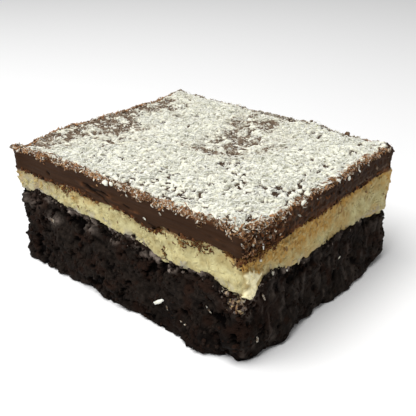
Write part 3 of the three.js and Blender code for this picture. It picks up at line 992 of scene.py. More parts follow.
def nugget_shapes(rng, length, width, thickness, rings=1, segments=6, uneven=0.3):
    """Chips and crumbs: a ball of few faces, with its points moved in and out at random, squashed to size."""
    count = len(length)
    dip = (np.arange(rings) + 1) * math.pi / (rings + 1)
    turn = 2 * math.pi * np.arange(segments) / segments
    ball = [
        np.outer(np.sin(dip), np.cos(turn)),
        np.outer(np.sin(dip), np.sin(turn)),
        np.outer(-np.cos(dip), np.ones(segments)),
    ]
    body = np.stack(ball, -1).reshape(-1, 3)
    unit = np.concatenate([[[0, 0, -1]], body, [[0, 0, 1]]])
    radii = rng.uniform(1 - uneven, 1 + uneven, (count, len(unit), 1))
    half = np.stack([length, width, thickness], -1)[:, None] / 2
    return unit * radii * half, closed_triangles(rings, segments)


def flake_shapes(rng, length, width, thickness, bend=0.1, segments=6):
    """Flakes: an uneven squarish oval as a lower and an upper ring, closed by their middles, arched along
    the length by (1 - u squared) and across by (1 - v squared)."""
    count = len(length)
    turn = 2 * math.pi * np.arange(segments) / segments
    squarish = (np.abs(np.cos(turn)) ** 3 + np.abs(np.sin(turn)) ** 3) ** (-1 / 3)
    reach = squarish * rng.uniform(0.74, 1.1, (count, segments))
    u, v, w = np.zeros((3, count, 2 * segments + 2))
    for ring, scale in enumerate((1, 0.9)):
        span = slice(1 + ring * segments, 1 + (ring + 1) * segments)
        u[:, span] = scale * reach * np.cos(turn)
        v[:, span] = scale * reach * np.sin(turn)
        w[:, span] = 1.4 * ring - 0.7
    w[:, 0] = -1
    w[:, -1] = 1
    arch, cup = rng.uniform(-bend, bend, (2, count, 1)) * length[:, None]
    z = w * thickness[:, None] / 2 + arch * (1 - u**2) + 0.5 * cup * (1 - v**2)
    points = np.stack([u * length[:, None] / 2, v * width[:, None] / 2, z], -1)
    return points, closed_triangles(2, segments)


def make_loose(name, slot, made, places, axes, values, is_smooth=False):
    """Joins many small pieces into one mesh: each made shape turned by its axes and put in its place."""
    shapes, triangles = made
    points = np.einsum("nvk,nkc->nvc", shapes, axes) + places[:, None]
    count, corners = shapes.shape[:2]
    faces = (triangles[None] + corners * np.arange(count)[:, None, None]).reshape(-1, 3)
    spread = {key: np.repeat(value, corners) for key, value in values.items()}
    make_piece(name, slot, points.reshape(-1, 3), faces, spread, is_smooth)


def seats(rng, wall, density, count):
    """Places for loose pieces on a wall, drawn by density: points, outward normals and their numbers."""
    chance = np.maximum(density, 0).ravel()
    picks = rng.choice(chance.size, count, p=chance / chance.sum())
    return wall.reshape(-1, 3)[picks], grid_normals(wall).reshape(-1, 3)[picks], picks


# Where the ganache shows through the coconut: x, y, reach along x, reach along y, share left bare
THIN_PLACES = [
    (-30, -2, 6.5, 10, 0.65),
    (-31, 15, 6.5, 9, 0.6),
    (-30, -19, 6, 8, 0.6),
    (-21, -8, 6, 9, 0.45),
    (1, 21, 7, 8, 0.6),
    (4, 5, 6.5, 9, 0.6),
    (10, 8, 5, 9, 0.45),
    (-12, 18, 24, 14, 0.12),
    (-34, -16, 4, 11, 0.6),
    (-34, -26, 5, 3.5, 0.6),
    (-34, 8, 3.5, 14, 0.45),
    (-1.8, -2.7, 3.5, 1.2, 0.55),
    (3, -1.4, 3, 1.1, 0.5),
]
# Where small holes are many, and where the coconut dips at the back edges: x, y, reaches, share. Where the
# share is below 0 there are fewer.
HOLEY_PLACES = [
    (9, -21.6, 4.5, 2.5, 0.4),
    (16, -21, 6, 3, 0.36),
    (26, -14, 6, 5, 0.3),
    (-8, -17, 5, 2.5, 0.3),
    (3.5, -20.5, 3, 2.5, -0.3),
]
DIPS = [
    (-34.3, 23.7, 1.5, 1.5, 0.9),
    (-30, 28.9, 2, 1.2, 0.9),
    (-22.7, 28.6, 2, 1, 0.8),
    (23, 28.4, 4, 0.9, 0.7),
    (31, 28.6, 2, 0.8, 0.6),
    (0.9, -15.1, 2, 1.5, -0.9),
    (4.8, -22, 2, 2, -0.7),
]
# Single bare spots: x, y, reach. The first two are at the back edge, the rest are small holes.
BARE_SPOTS = [
    (35, 28.4, 2.3),
    (22.9, 28, 1.4),
    (2.6, -9.6, 0.7),
    (12.8, -15.9, 0.6),
    (8.8, -21.5, 0.7),
    (14.1, -23.4, 0.7),
    (15.2, -20.4, 0.8),
    (7.7, -3.3, 0.6),
    (13, -3.1, 0.6),
    (21.4, -13.3, 0.7),
    (14.4, -9, 0.6),
    (18.2, -19.8, 0.6),
    (21.8, -24.6, 0.5),
    (26.5, -20.1, 0.5),
    (28.2, -19.3, 0.5),
    (30.8, -20.5, 0.5),
]
# Where brown bits lie in clumps along the +X edge: x, y, reaches, and how much further in
EDGE_CLUMPS = [
    (34, -26, 2, 3, 0.7),
    (34, -17, 2, 1.5, 0.8),
    (34, -10, 2, 1.6, 1),
    (34, -4.5, 2, 1.2, 0.9),
    (34, 3, 2, 1.6, 1),
    (34, 8.5, 2, 1.6, 1),
    (33.6, 18.5, 2.2, 1.8, 1.6),
]
# The lump at the back right corner that stays clear of brown bits: x, y
KNOB = (34.6, 28)
# The grid that keeps the coconut's height: its step, half its sides, and how far it drops past the edge
BED_STEP = 0.12
BED_HALF = (36.6, 30.6)
EDGE_DROP = 1.1
# How many pieces lie on each other, in how many batches they fall, and the highest place of a piece
LAYERS = 2.6
BATCHES = 40
HIGHEST = 31.9


def edge_inset(xy):
    """How far inside the rounded outline a point lies, seen from above; negative outside."""
    past = np.abs(xy) - (BLOCK_HALF - CORNER_RADIUS)
    return CORNER_RADIUS - np.linalg.norm(np.maximum(past, 0), axis=-1) - np.minimum(past.max(-1), 0)


def bells_of(xy, places):
    """Bells round places on the top, each with its own reach each way and its share, added up."""
    return sum(
        share * bell(np.hypot((xy[..., 0] - x) / reach_x, (xy[..., 1] - y) / reach_y), 1)
        for x, y, reach_x, reach_y, share in places
    )


def thin_share(xy):
    """How thin the coconut lies: most in the thin places, broken into clumps."""
    return np.clip(bells_of(xy, THIN_PLACES) * (1 + 0.9 * plane_noise(xy, 2.3, 301)), 0, 0.95)


def dusty_share(xy):
    """How dusty with cocoa the coconut is: most in the thin places, in soft clumps."""
    clumps = 1 + 1.1 * plane_noise(xy, 1.3, 321) + 0.8 * plane_noise(xy, 0.6, 322)
    return np.clip(0.95 * thin_share(xy) * clumps, 0, 1)


def holes_of(xy):
    """0 where no hole is and 1 or more in the holes and dips, where fine noise passes a limit, and on the
    bare spots."""
    bare = sum(around(xy, x, y, reach) for x, y, reach in BARE_SPOTS)
    fine = plane_noise(xy, 0.8, 302) + 0.5 * plane_noise(xy, 6, 303) + bells_of(xy, DIPS)
    small = plane_noise(xy, 0.5, 305) + bells_of(xy, HOLEY_PLACES)
    return smooth((fine - 0.4) / 0.15) + smooth((small - 0.72) / 0.15) + smooth(2 * bare - 0.4)


def pits_of(xy):
    """1 in the gaps between shreds, where the finest noise passes a limit; fewer towards the back."""
    back = 0.25 * smooth((xy[..., 1] + 12) / 20)
    return smooth((plane_noise(xy, 0.55, 327) + 0.3 * plane_noise(xy, 4, 328) - 0.32 - back) / 0.25)


def ragged_edge(xy):
    """How far in from the cut edges the coconut is torn: more at +X, and most in the clumps there."""
    right = smooth((xy[..., 0] - 30) / 3)
    uneven = lerp(0.6, 0.75, right) * plane_noise(xy, 2.2, 304)
    return lerp(1.45, 0.8, right) + uneven + bells_of(xy, EDGE_CLUMPS)


def strip_of(xy):
    """1 in a ragged strip along the cut edges."""
    return smooth((ragged_edge(xy) - edge_inset(xy)) / 0.4)


def bare_share(xy, thinning=1):
    """How bare the ganache is meant to be: the thin places, the holes and the strip along the cut edges."""
    return np.clip(np.maximum(thinning * thin_share(xy) + holes_of(xy), strip_of(xy)), 0.02, 0.98)


def bed_top(xy):
    """The top of the fine coconut on the ganache: a felt just under half a millimetre thick, in soft heaps
    and with bumps the size of shreds, that sinks into the ganache where noise falls below the bare share."""
    patch = 0.42 + 0.35 * plane_noise(xy, 1.3, 311) + 0.35 * plane_noise(xy, 0.8, 312)
    lying = smooth((patch - bare_share(xy, 0.5)) / 0.2 + 0.6)
    heaps = 0.22 * plane_noise(xy, 2.6, 313) + 0.14 * plane_noise(xy, 1, 316) - 0.25 * pits_of(xy)
    return ganache_top(xy) + lerp(-0.25, 0.45 - 0.25 * thin_share(xy) + heaps, lying)


def cover(xy):
    """The share of all pieces to keep at a place, so that the wanted share stays bare under random pieces
    that lie several layers deep where all are kept: minus the logarithm of the bare share, by the layers."""
    return -np.log(bare_share(xy)) / LAYERS


class Bed:
    """The height of what lies on the ganache, on a fine grid of squares."""

    def __init__(self):
        counts = [int(2 * half / BED_STEP) for half in BED_HALF]
        axes = [(np.arange(count) + 0.5) * BED_STEP - half for count, half in zip(counts, BED_HALF)]
        xy = np.stack(np.meshgrid(*axes, indexing="ij"), -1)
        self.heights = np.maximum(ganache_top(xy), bed_top(xy)) - EDGE_DROP * (edge_inset(xy) < 0)

    def squares(self, xy):
        """The squares that points lie in."""
        found = [np.floor((xy[..., axis] + BED_HALF[axis]) / BED_STEP).astype(int) for axis in range(2)]
        return tuple(np.clip(row, 0, count - 1) for row, count in zip(found, self.heights.shape))

    def settle(self, xy, heading, length, width, thickness):
        """Lays pieces down: each takes the line that fits the heights under its length, lifted by a third of
        what stands above that line, and then counts as part of the bed. Returns heights and pitches."""
        along = np.stack([np.cos(heading), np.sin(heading)], -1)[:, None]
        across = np.stack([-np.sin(heading), np.cos(heading)], -1)[:, None]
        u = np.linspace(-1, 1, 7)
        middle = xy[:, None] + along * (u * length[:, None] / 2)[..., None]
        under = self.heights[self.squares(middle)]
        slope = np.clip((under * u).sum(-1) / (u**2).sum(), -0.3 * length, 0.3 * length)
        line = under.mean(-1)[:, None] + slope[:, None] * u
        height = under.mean(-1) + 0.35 * (under - line).max(-1)
        rise = (height[:, None] + slope[:, None] * u + 0.25 * thickness[:, None]) * np.ones_like(u)
        for side in (-0.8, 0, 0.8):
            covered = middle + across * (side * width / 2)[:, None, None]
            np.maximum.at(self.heights, self.squares(covered), rise)
        return height, np.arctan2(slope, length / 2)


def drawn(rng, count, *bounds):
    """A row of evenly drawn numbers for each pair of bounds."""
    return np.array([rng.uniform(low, high, count) for low, high in bounds])


def some(rng, chosen, low, high, otherwise=0):
    """Evenly drawn numbers where chosen, and one number elsewhere."""
    return np.where(chosen, rng.uniform(low, high, len(chosen)), otherwise)


def sprinkle(rng, bed, count, length, width, thickness, tilt, chance):
    """Drops pieces at random places, keeps those that the chance of each place allows at their middle and
    towards both ends, and lays them in batches on what lies there already. Returns places, axes and sizes."""
    xy = rng.uniform(-BLOCK_HALF - 0.1, BLOCK_HALF + 0.1, (count, 2))
    sizes = drawn(rng, count, length, width, thickness)
    heading = rng.uniform(0, 2 * math.pi, count)
    reach = 0.35 * sizes[0][:, None] * np.stack([np.cos(heading), np.sin(heading)], -1)
    allowed = np.minimum(chance(xy), np.minimum(chance(xy - reach), chance(xy + reach)))
    kept = rng.uniform(size=count) < allowed
    xy, sizes, heading = xy[kept], sizes[:, kept], heading[kept]
    count = len(xy)
    height, pitch = np.zeros(count), np.zeros(count)
    for batch in np.array_split(np.arange(count), BATCHES):
        height[batch], pitch[batch] = bed.settle(xy[batch], heading[batch], *(size[batch] for size in sizes))
    axes = turned(heading, pitch + tilt * rng.normal(size=count), tilt * 2 * rng.normal(size=count))
    return np.column_stack([xy, np.minimum(height, HIGHEST) - 0.3 * sizes[2]]), axes, sizes


def coconut_values(rng, places):
    """Each piece's shade, cocoa dust in the thin places, and brown on some pieces at the cut edges."""
    count = len(places)
    edge = smooth((2 - edge_inset(places[:, :2])) / 1.4)
    draw = rng.uniform(size=count)
    return {
        "shade": rng.uniform(size=count) ** 0.6,
        "dusty": dusty_share(places[:, :2]) * rng.uniform(0.3, 1.1, count),
        "tan": some(rng, draw < 0.85 * edge, 0.7, 1.2),
        "cocoa": some(rng, draw < 0.3 * edge, 0.4, 1),
    }


def brown_values(rng, places, dark, pale):
    """Shades of the bits that the knife dragged through the ganache: the pale share is only tinged, the rest
    brown, and the dark share, which comes in clumps, is dark with it. Along the back edge they are dusty
    instead."""
    count = len(places)
    draw = rng.uniform(size=count)
    dark = dark + 0.5 * noise(places, 1.8, 323)
    back = smooth((places[:, 1] - 25) / 2)
    tan = np.where(draw < 1 - pale, rng.uniform(0.9, 1.6, count), rng.uniform(0.15, 0.75, count))
    return {
        "shade": rng.uniform(size=count),
        "tan": tan * (1 - 0.75 * back),
        "dusty": 0.7 * back * draw,
        "cocoa": some(rng, draw < dark, 0.4, 1.1),
    }


def bed_floor(xy):
    """The underside of the fine coconut, hidden in the ganache."""
    return ganache_top(xy) - SUNK["felt in ganache"]


def make_bed():
    """The fine coconut between the larger pieces, as one closed felt on the ganache."""
    wall = np.concatenate([rings_of(surface, FELT_RINGS[:1]) for surface in (bed_floor, bed_top)])
    points, triangles, _ = closed_slab(wall, bed_floor, bed_top, HIDDEN_RINGS[1:], FELT_RINGS[1:])
    xy = points[:, :2]
    grain = plane_noise(xy, 0.6, 315)
    strip = 0.6 * smooth(strip_of(xy) * (1 + grain))
    values = {
        "shade": 0.55 + 0.35 * grain,
        "dusty": dusty_share(xy),
        "tan": np.zeros(len(points)),
        # Cocoa brown in the torn strip, and painted shade in the holes and in the gaps between shreds
        "cocoa": np.max([strip, 0.85 * smooth(holes_of(xy)), 0.45 * pits_of(xy)], 0),
    }
    make_piece("coconut_bed", "dried_coconut", points, triangles, values)


def dust_chance(xy):
    """The chance of a fine bit: less in the thin places, none at the cut edges."""
    return smooth(edge_inset(xy) - 0.4) * (1 - 0.4 * thin_share(xy))


def fleck_chance(xy):
    """The chance of a small pale fleck: only in the thin places, in loose clumps."""
    return 0.5 * smooth(2 * thin_share(xy) - 0.3) * smooth(0.4 + 1.5 * plane_noise(xy, 1.2, 324))


def make_coconut(bed):
    """The sprinkled coconut, from the finest, which lies lowest, to the small flecks on top."""
    rng = np.random.default_rng(401)
    short, curled = {"bend": 0.25}, {"stations": 5, "bend": 0.38}
    thin, thick = (0.14, 0.22), (0.16, 0.26)
    # Each kind's name, how many fall, bounds of length, width and thickness, tilt, chance, shape, settings
    kinds = [
        ("coconut_dust", 4500, (0.35, 0.9), (0.25, 0.5), thin, 0.25, dust_chance, nugget_shapes, {}),
        ("coconut_bits", 2800, (0.7, 1.5), (0.45, 0.8), thick, 0.16, cover, flake_shapes, {}),
        ("coconut_short_shreds", 10500, (0.6, 1.6), (0.18, 0.34), thin, 0.24, cover, shred_shapes, short),
        ("coconut_shreds", 8200, (1.3, 2.8), (0.17, 0.31), (0.15, 0.23), 0.17, cover, shred_shapes, curled),
        ("coconut_flecks", 14000, (0.4, 1.2), (0.3, 0.7), thick, 0.3, fleck_chance, flake_shapes, {}),
    ]
    for name, *fall, shape, settings in kinds:
        places, axes, sizes = sprinkle(rng, bed, *fall)
        made = shape(rng, *sizes, **settings)
        make_loose(name, "dried_coconut", made, places, axes, coconut_values(rng, places), True)


def edge_chance(xy):
    """The chance of a cocoa-brown bit near the cut edges: in the torn strip and a little further in, but not
    round the knob."""
    away = np.hypot(xy[..., 0] - KNOB[0], xy[..., 1] - KNOB[1])
    torn = smooth((ragged_edge(xy) + 0.25 - edge_inset(xy)) / 0.5)
    return torn * (edge_inset(xy) > 0.1) * smooth(away / 2.5 - 0.5)


def make_rim_bits(rng, bed):
    """The torn coconut that lies on the rim, most of it brown with cocoa."""
    bounds = (0.5, 1.5), (0.2, 0.44), (0.16, 0.34)
    places, axes, sizes = sprinkle(rng, bed, 60000, *bounds, tilt=0.5, chance=edge_chance)
    made = shred_shapes(rng, *sizes)
    make_loose("rim_bits", "dried_coconut", made, places, axes, brown_values(rng, places, 0.38, 0.3))


def make_fringe(rng, wall):
    """The torn coconut that hangs over the rim: short shreds, wilder on the +X face."""
    count = 2700
    down = below(GANACHE_TOP, wall)
    density = bell(down, lerp(0.4, 0.6, RIGHT_FACE)) + 0.4 * bell(down, 1.3) * bell(corner_run(wall) - 5, 8)
    density = density * patches(wall, 2.4, 413, 0.55, 1.2)
    density = density * lerp(1, smooth(0.3 + bells_of(wall[..., :2], EDGE_CLUMPS)), RIGHT_FACE)
    density = density + 0.5 * bell(down, 1) * FRONT_FACE * patches(wall * [1, 1, 0.3], 2, 415, -0.3, 2)
    places, normals, _ = seats(rng, wall, density, count)
    made = shred_shapes(rng, *drawn(rng, count, (0.4, 1.2), (0.2, 0.42), (0.16, 0.3)))
    places = places + normals * rng.uniform(-0.08, 0.1, count)[:, None]
    dark = 0.35 + 0.45 * smooth(below(GANACHE_TOP, places) / 1.2)
    values = brown_values(rng, places, dark, 0.25)
    make_loose("cocoa_fringe", "dried_coconut", made, places, on_face(rng, normals, 0.5), values)


def make_torn_edge(wall, bed):
    """The brown coconut along the cut edges: first what lies on the rim, then what hangs over it."""
    rng = np.random.default_rng(411)
    make_rim_bits(rng, bed)
    make_fringe(rng, wall)


def make_ganache_crumbs(wall):
    """Crumbs of ganache: along its smeared lower rim, and all over the torn +X face."""
    rng = np.random.default_rng(441)
    count = 1500
    corner = around(wall, x=35, y=-26, reach=9)
    patchy = patches(wall, 1.9, 443, 0.5, 1.2)
    rim = bell(above(GANACHE_FLOOR, wall), lerp(0.4, 0.5, RIGHT_FACE))
    density = rim * patchy * (1 - 0.6 * corner) + RIGHT_FACE * (0.02 + 0.1 * corner)
    places, normals, _ = seats(rng, wall, density, count)
    size = 0.22 + 0.7 * rng.uniform(size=count) ** 2
    made = nugget_shapes(rng, *(size * drawn(rng, count, (1, 1.8), (0.7, 1))), size * 0.7, 2)
    draw = rng.uniform(size=count)
    values = {
        "thin": some(rng, draw < 0.6, 0.2, 0.9),
        "crack": some(rng, draw > 0.75, 0.3, 1),
        "dust": np.where(np.abs(draw - 0.5) < 0.03, 0.7, 0),
    }
    make_loose("ganache_crumbs", "ganache", made, places, on_face(rng, normals, 0.4), values)


# Where brown curls hang from the ganache over the cream: side, place along it, height, reaches, share
CURLS = [
    ("front", 6.5, 24.5, 1.6, 0.7, 1),
    ("front", 10.8, 23.7, 2.4, 0.8, 1.2),
    ("front", 18, 25.2, 3.4, 0.4, 0.5),
    ("front", 19.6, 23.4, 1.2, 0.6, 0.5),
    ("front", 23.6, 23.9, 1.8, 1.1, 0.35),
    ("front", 32, 25, 2, 0.6, 0.8),
    ("front", 33.8, 24.2, 1.1, 0.8, 0.9),
    ("front", -17, 24.4, 1.8, 0.8, 0.35),
    ("front", 13.6, 18.9, 0.4, 0.7, 0.8),
    ("right", -24, 24.6, 4.5, 0.9, 1),
    ("right", -14, 24.9, 4, 0.5, 0.6),
    ("right", -5, 24.8, 5, 0.5, 0.5),
    ("right", 7, 25, 5, 0.4, 0.4),
]


def make_curls(wall):
    """Curled brown shreds under the ganache's lower rim, of ganache and of stained cream: in clumps, and a
    thin broken line elsewhere."""
    rng = np.random.default_rng(461)
    down = ganache_floor(wall[..., :2]) - wall[..., 2]
    line = 0.35 * bell(down, 0.35) * patches(wall, 2.3, 463, 0.3, 1.5)
    density = np.maximum(marks_of(wall, CURLS), line) * (down > -0.1)
    for name, slot, count in (("ganache_curls", "ganache", 900), ("cream_curls", "coconut_cream", 600)):
        places, normals, _ = seats(rng, wall, density, count)
        sizes = drawn(rng, count, (0.4, 1.3), (0.18, 0.38), (0.14, 0.26))
        made = shred_shapes(rng, *sizes, stations=5, bend=0.3)
        draw = rng.uniform(size=count)
        values = {
            "thin": some(rng, draw < 0.85, 0.4, 1),
            "crack": 0.8 * (draw > 0.92),
            "dust": np.zeros(count),
            "tan": rng.uniform(0.8, 1.6, count),
            "spots": some(rng, draw < 0.85, 0.5, 1, otherwise=0.2),
            "smear": np.zeros(count),
            "pale": np.zeros(count),
        }
        make_loose(name, slot, made, places, on_face(rng, normals, 0.3), values)


def make_corner_bits(wall):
    """Flakes of coconut, most of them brown and dark, that stick to the +X face's ganache by the corner."""
    rng = np.random.default_rng(471)
    count = 130
    patchy = patches(wall, 1.7, 473, 0.3, 1.4)
    density = RIGHT_FACE * bell(corner_run(wall) - 3, 7) * patchy * smooth(above(GANACHE_FLOOR, wall) / 0.8)
    places, normals, _ = seats(rng, wall, density, count)
    made = flake_shapes(rng, *drawn(rng, count, (0.5, 1.5), (0.3, 0.7), (0.16, 0.26)), bend=0.12)
    values = brown_values(rng, places, 0.75, 0.05)
    make_loose("corner_bits", "dried_coconut", made, places, on_face(rng, normals, 0.3), values, True)


def spot_on(wall, side, along, height):
    """The point of a wall nearest to a place along one of its sides at a height."""
    axis, facing = SIDES[side]
    away = np.hypot(wall[..., axis] - along, wall[..., 2] - height) + FAR * (FACING @ facing[:2] < 0.5)
    return wall.reshape(-1, 3)[away.argmin()]


# Loose coconut on the cut faces: layer, side, place along it and height of both ends, width, cocoa dust
STRAYS = [
    ("cake", "front", 10.6, 5.3, 14.7, 8.1, 1.25, 0.05),
    ("cake", "front", 14, 6.5, 14.5, 4.6, 0.5, 0.8),
    ("cake", "front", 24.1, 11.2, 26.5, 9.1, 0.5, 0.85),
    ("cake", "front", 18.5, 4.4, 19.3, 4.2, 0.5, 0.8),
    ("cake", "front", 20.2, 4.5, 21, 4.8, 0.5, 0.8),
    ("cake", "front", -23.6, 14.9, -22.4, 14.1, 0.8, 0.95),
    ("cake", "right", -24.5, 5.6, -24.1, 4.1, 0.9, 0.75),
    ("cake", "right", -19.4, 19, -18.6, 17, 0.9, 0.6),
    ("cake", "right", -14.4, 16.9, -13.4, 15.6, 0.7, 0.25),
    ("cake", "right", -22.9, 14.9, -21.8, 12.9, 0.6, 0.8),
    ("cake", "right", 6, 9.6, 7.2, 10.1, 0.5, 0.4),
    ("ganache", "front", -3, 30.2, -1.2, 30.6, 1.7, 0),
    ("ganache", "front", -1, 30.7, 0.1, 30.7, 1.2, 0),
    ("ganache", "front", -4.9, 31, -4.1, 31.1, 0.4, 0.2),
    ("ganache", "front", 3.8, 29.5, 4.5, 28.8, 0.5, 0.8),
    ("ganache", "front", 8.8, 25.7, 9.8, 25.2, 0.6, 0.6),
    ("ganache", "front", 13.5, 28.6, 14.1, 27.8, 0.35, 0.9),
    ("ganache", "front", 31.5, 29.5, 32.1, 29, 0.5, 0.8),
    ("ganache", "front", 35.2, 28.9, 35.9, 28.1, 0.6, 0.9),
    ("ganache", "right", -27.3, 27.9, -26.1, 27.5, 0.9, 0.75),
    ("ganache", "right", -23.4, 26.4, -23.1, 24.6, 0.6, 0.15),
    ("ganache", "right", -25.6, 29.1, -25.2, 28.8, 0.4, 0.3),
    ("ganache", "right", -22, 27.8, -21, 27, 1, 0.9),
    ("ganache", "right", -11.8, 28.2, -9.8, 27, 0.5, 0.6),
    ("ganache", "right", -10.9, 30.4, -8.8, 30.9, 1.3, 0.1),
    ("ganache", "right", 2.6, 31.2, 4.4, 30.3, 0.8, 0.1),
    ("ganache", "right", 6.5, 30, 6.8, 29, 0.3, 0.1),
    ("ganache", "right", 7.6, 29.9, 8.4, 28.7, 1.1, 0.05),
    ("ganache", "right", 12.3, 29.9, 13.6, 28.9, 0.5, 0.05),
    ("cream", "right", -23.4, 22.9, -22.5, 22.2, 0.9, 0.55),
]


def make_strays(walls):
    """Single bits of coconut that stick to the cut faces, each along the line between its two ends. Those on
    the ganache stand at least as far out as the cut face."""
    rng = np.random.default_rng(451)
    count = len(STRAYS)
    places, axes, sizes = np.zeros((count, 3)), np.zeros((count, 3, 3)), np.zeros((3, count))
    for i, (layer, side, start, low, end, high, width, _) in enumerate(STRAYS):
        axis, facing = SIDES[side]
        middle = spot_on(walls[layer], side, (start + end) / 2, (low + high) / 2)
        run = np.zeros(3)
        run[[axis, 2]] = end - start, high - low
        length = np.linalg.norm(run)
        axes[i] = run / length, np.cross(facing, run / length), facing
        proud = BLOCK_HALF[1 - axis] - facing @ middle if layer == "ganache" else 0
        places[i] = middle + (max(0, proud) + 0.2 * width) * facing
        sizes[:, i] = 0.9 * length, 0.85 * width, 0.4 * width
    made = nugget_shapes(rng, *sizes, rings=3, segments=8)
    values = {
        "shade": rng.uniform(0.5, 1, count),
        "tan": np.zeros(count),
        "dusty": np.array([stray[-1] for stray in STRAYS]),
        "cocoa": np.zeros(count),
    }
    make_loose("stray_coconut", "dried_coconut", made, places, axes, values, True)


# Brown lumps on the top's edges: x, y, height over the ganache, length, width, thickness, dust
TOP_LUMPS = [
    (23.8, 26.4, 1.25, 1.35, 1.35, 1.35, 0.45),
    (28.3, 27.6, 0.6, 1.2, 0.7, 0.5, 0.9),
    (12, 28.6, 0.6, 1.2, 0.8, 0.6, 0.8),
    (9.6, 28.6, 0.15, 1.6, 1, 0.8, 0.9),
    (-35.7, -29, -0.4, 1.9, 1.4, 1.1, 0.9),
    (-33.2, 5, 0.5, 1.6, 1.2, 0.9, 0.5),
]


def make_top_lumps():
    """Lumps of ganache, dusty with coconut, that lie at the edges of the top."""
    rng = np.random.default_rng(481)
    x, y, over, *sizes, dust = np.array(TOP_LUMPS).T
    places = np.column_stack([x, y, ganache_top(np.column_stack([x, y])) + over])
    made = nugget_shapes(rng, *sizes, rings=5, segments=10, uneven=0.12)
    flat = np.zeros(len(x))
    axes = turned(rng.uniform(0, 6, len(x)), flat, flat)
    values = {"thin": 0.5 * (dust < 0.6), "crack": flat, "dust": dust}
    make_loose("top_lumps", "ganache", made, places, axes, values, True)


def make_crumbs(wall):
    """Loose crumbs on the cake's cut faces, most of them in the torn band under the cream, and rusty ones
    mixed with cream by the front corner."""
    rng = np.random.default_rng(421)
    count = 3700
    corner = {"x": 34, "y": -28.5, "reach": 4}
    down = below(CREAM_FLOOR, wall)
    density = (0.35 + bell(down, 2)) * lerp(1, 0.6, RIGHT_FACE) * smooth(wall[..., 2] / 1.5)
    density = density * patches(wall, 2.4, 423, 0.4, 1.1)
    density = density + 2 * (around(wall, **corner) * bell(down - 1, 2))
    places, normals, _ = seats(rng, wall, density, count)
    size = 0.35 + 0.9 * rng.uniform(size=count) ** 2.2
    made = nugget_shapes(rng, size, *(size * drawn(rng, count, (0.7, 1), (0.6, 0.9))), 2, 8, 0.22)
    near = around(places, **corner)
    pale = lerp(0.35, 0.45, near) * bell(below(CREAM_FLOOR, places) - near, 1.3)
    values = {
        "cake_shade_and_tone": 0.5 * rng.uniform(size=count) ** 3,
        "warm": rng.uniform(size=count) ** 2 + 1.2 * near,
        "smear": some(rng, rng.uniform(size=count) < pale, 0.2, 0.9),
    }
    make_loose("brownie_crumbs", "brownie_crumb", made, places, on_face(rng, normals, 0.4), values, True)


def make_cream_shreds(wall):
    """The coconut in the cream: short shreds that lie half sunk in its cut faces."""
    rng = np.random.default_rng(431)
    count = 1800
    density = smooth(above(CREAM_FLOOR, wall) / 0.8) * smooth(below(GANACHE_FLOOR, wall) / 0.5)
    places, normals, picks = seats(rng, wall, density, count)
    made = flake_shapes(rng, *drawn(rng, count, (0.8, 2), (0.4, 0.8), (0.16, 0.24)), bend=0.03)
    places = places - 0.05 * normals
    low = bell(above(CREAM_FLOOR, places), 1)
    values = {
        "tan": tan_of(wall).ravel()[picks] * rng.uniform(0.5, 1.2, count),
        "spots": np.where(rng.uniform(size=count) < 0.03, 0.7, 0),
        "smear": some(rng, rng.uniform(size=count) < 0.6 * low, 0.2, 0.8),
        # Shreds on the tongue take its paleness, partly painted light
        "pale": tongue_of(wall).ravel()[picks],
    }
    make_loose("cream_shreds", "coconut_cream", made, places, on_face(rng, normals, 0.06), values, True)


def make_cream_lumps(wall):
    """Small lumps of cream, stained and mixed with crumbs, under the tongue at the front corner."""
    rng = np.random.default_rng(491)
    count = 300
    band = bell(below(CREAM_FLOOR, wall) - 0.3, 1.5)
    density = around(wall, x=34.2, y=-28.8, reach=2.2) * band * (FRONT_FACE + 0.35)
    places, normals, _ = seats(rng, wall, density, count)
    size = 0.3 + 0.9 * rng.uniform(size=count) ** 1.5
    made = nugget_shapes(rng, size, 0.6 * size, 0.35 * size, rings=2, segments=7, uneven=0.35)
    low = smooth(below(CREAM_FLOOR, places) / 1.6)
    draw = rng.uniform(size=count)
    values = {
        "tan": some(rng, draw < 0.5, 0.3, 1.2, otherwise=0.2),
        "spots": rng.uniform(0.35, 1, count) * lerp(0.6, 1.1, low),
        "smear": rng.uniform(0.2, 1, count) * (1 - 0.7 * low),
        "pale": np.zeros(count),
    }
    make_loose("cream_lumps", "coconut_cream", made, places, on_face(rng, normals, 0.3), values, True)


# The floor, the light and the camera

# The floor's side, and the key light's place and aim, its side and its power, in metres and watts, and the
# strength of the surround
FLOOR_SIZE = 6
KEY = {"place": (-0.05, -0.24, 0.55), "aim": (0, 0, 0.015), "size": 0.45, "power": 4.3}
SURROUND = 0.3


def make_stage():
    """A plain pale floor."""
    bpy.ops.mesh.primitive_plane_add(size=FLOOR_SIZE)
    floor = bpy.context.object
    floor.name = "floor"
    finish = bpy.data.materials.new("pale_floor")
    finish.use_nodes = True
    shader = finish.node_tree.nodes["Principled BSDF"].inputs
    shader["Base Color"].default_value = FLOOR_COLOUR
    shader["Roughness"].default_value = 0.9
    shader["Specular IOR Level"].default_value = 0.1
    floor.data.materials.append(finish)


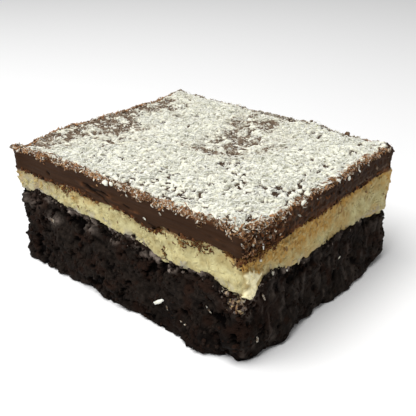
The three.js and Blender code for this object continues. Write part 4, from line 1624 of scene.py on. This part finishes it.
def make_light():
    """Soft studio light: an even pale surround, and a large square key from above and the front left."""
    world = bpy.data.worlds.new("surround")
    world.use_nodes = True
    background = world.node_tree.nodes["Background"].inputs
    background["Color"].default_value = (1, 1, 1, 1)
    background["Strength"].default_value = SURROUND
    light = bpy.data.lights.new("key", "AREA")
    light.shape = "SQUARE"
    light.size = KEY["size"]
    light.energy = KEY["power"]
    lamp = bpy.data.objects.new("key", light)
    lamp.location = KEY["place"]
    lamp.rotation_euler = (Vector(KEY["aim"]) - Vector(KEY["place"])).to_track_quat("-Z", "Y").to_euler()
    bpy.context.scene.collection.objects.link(lamp)
    bpy.context.scene.world = world
    bpy.context.scene.view_settings.view_transform = "Standard"


# The camera of the photograph: its turn about the block, its height angle and roll in degrees, and in
# millimetres its distance from the block's middle, how far it stands aside, its lens and sensor, and the
# height of the block's middle
CAMERA = {"azimuth": 40.902, "elevation": 26.503, "roll": -0.54, "distance": 169.9, "aside": (1.008, -1.246)}
LENS = 58.9
SENSOR = 36
BLOCK_MIDDLE = 15.28


def make_camera():
    """A camera that looks at the block's middle along the line of its two angles, moved aside and rolled."""
    azimuth, elevation, roll = (math.radians(CAMERA[key]) for key in ("azimuth", "elevation", "roll"))
    right = Vector((math.cos(azimuth), math.sin(azimuth), 0))
    level = math.cos(elevation)
    back = Vector((math.sin(azimuth) * level, -math.cos(azimuth) * level, math.sin(elevation)))
    up = back.cross(right)
    aside = CAMERA["aside"][0] * right + CAMERA["aside"][1] * up
    place = Vector((0, 0, BLOCK_MIDDLE)) + Vector(OUTLINE_MIDDLE) + CAMERA["distance"] * back + aside
    turned_right = math.cos(roll) * right + math.sin(roll) * up
    turned_up = math.cos(roll) * up - math.sin(roll) * right
    data = bpy.data.cameras.new("camera")
    data.lens, data.sensor_width = LENS, SENSOR
    data.clip_start, data.clip_end = 0.01, 10
    camera = bpy.data.objects.new("camera", data)
    bpy.context.scene.collection.objects.link(camera)
    turn = Matrix((turned_right, turned_up, back)).transposed().to_4x4()
    camera.matrix_world = Matrix.Translation(place * MM) @ turn
    bpy.context.scene.camera = camera


base_wall = make_base()
cream_wall = make_cream()
ganache_wall = make_ganache()
make_crumbs(base_wall)
make_cream_shreds(cream_wall)
make_cream_lumps(base_wall)
coconut_bed = Bed()
make_bed()
make_coconut(coconut_bed)
make_torn_edge(ganache_wall, coconut_bed)
make_ganache_crumbs(ganache_wall)
make_curls(cream_wall)
make_corner_bits(ganache_wall)
make_strays({"cake": base_wall, "cream": cream_wall, "ganache": ganache_wall})
make_top_lumps()
make_stage()
make_light()
make_camera()
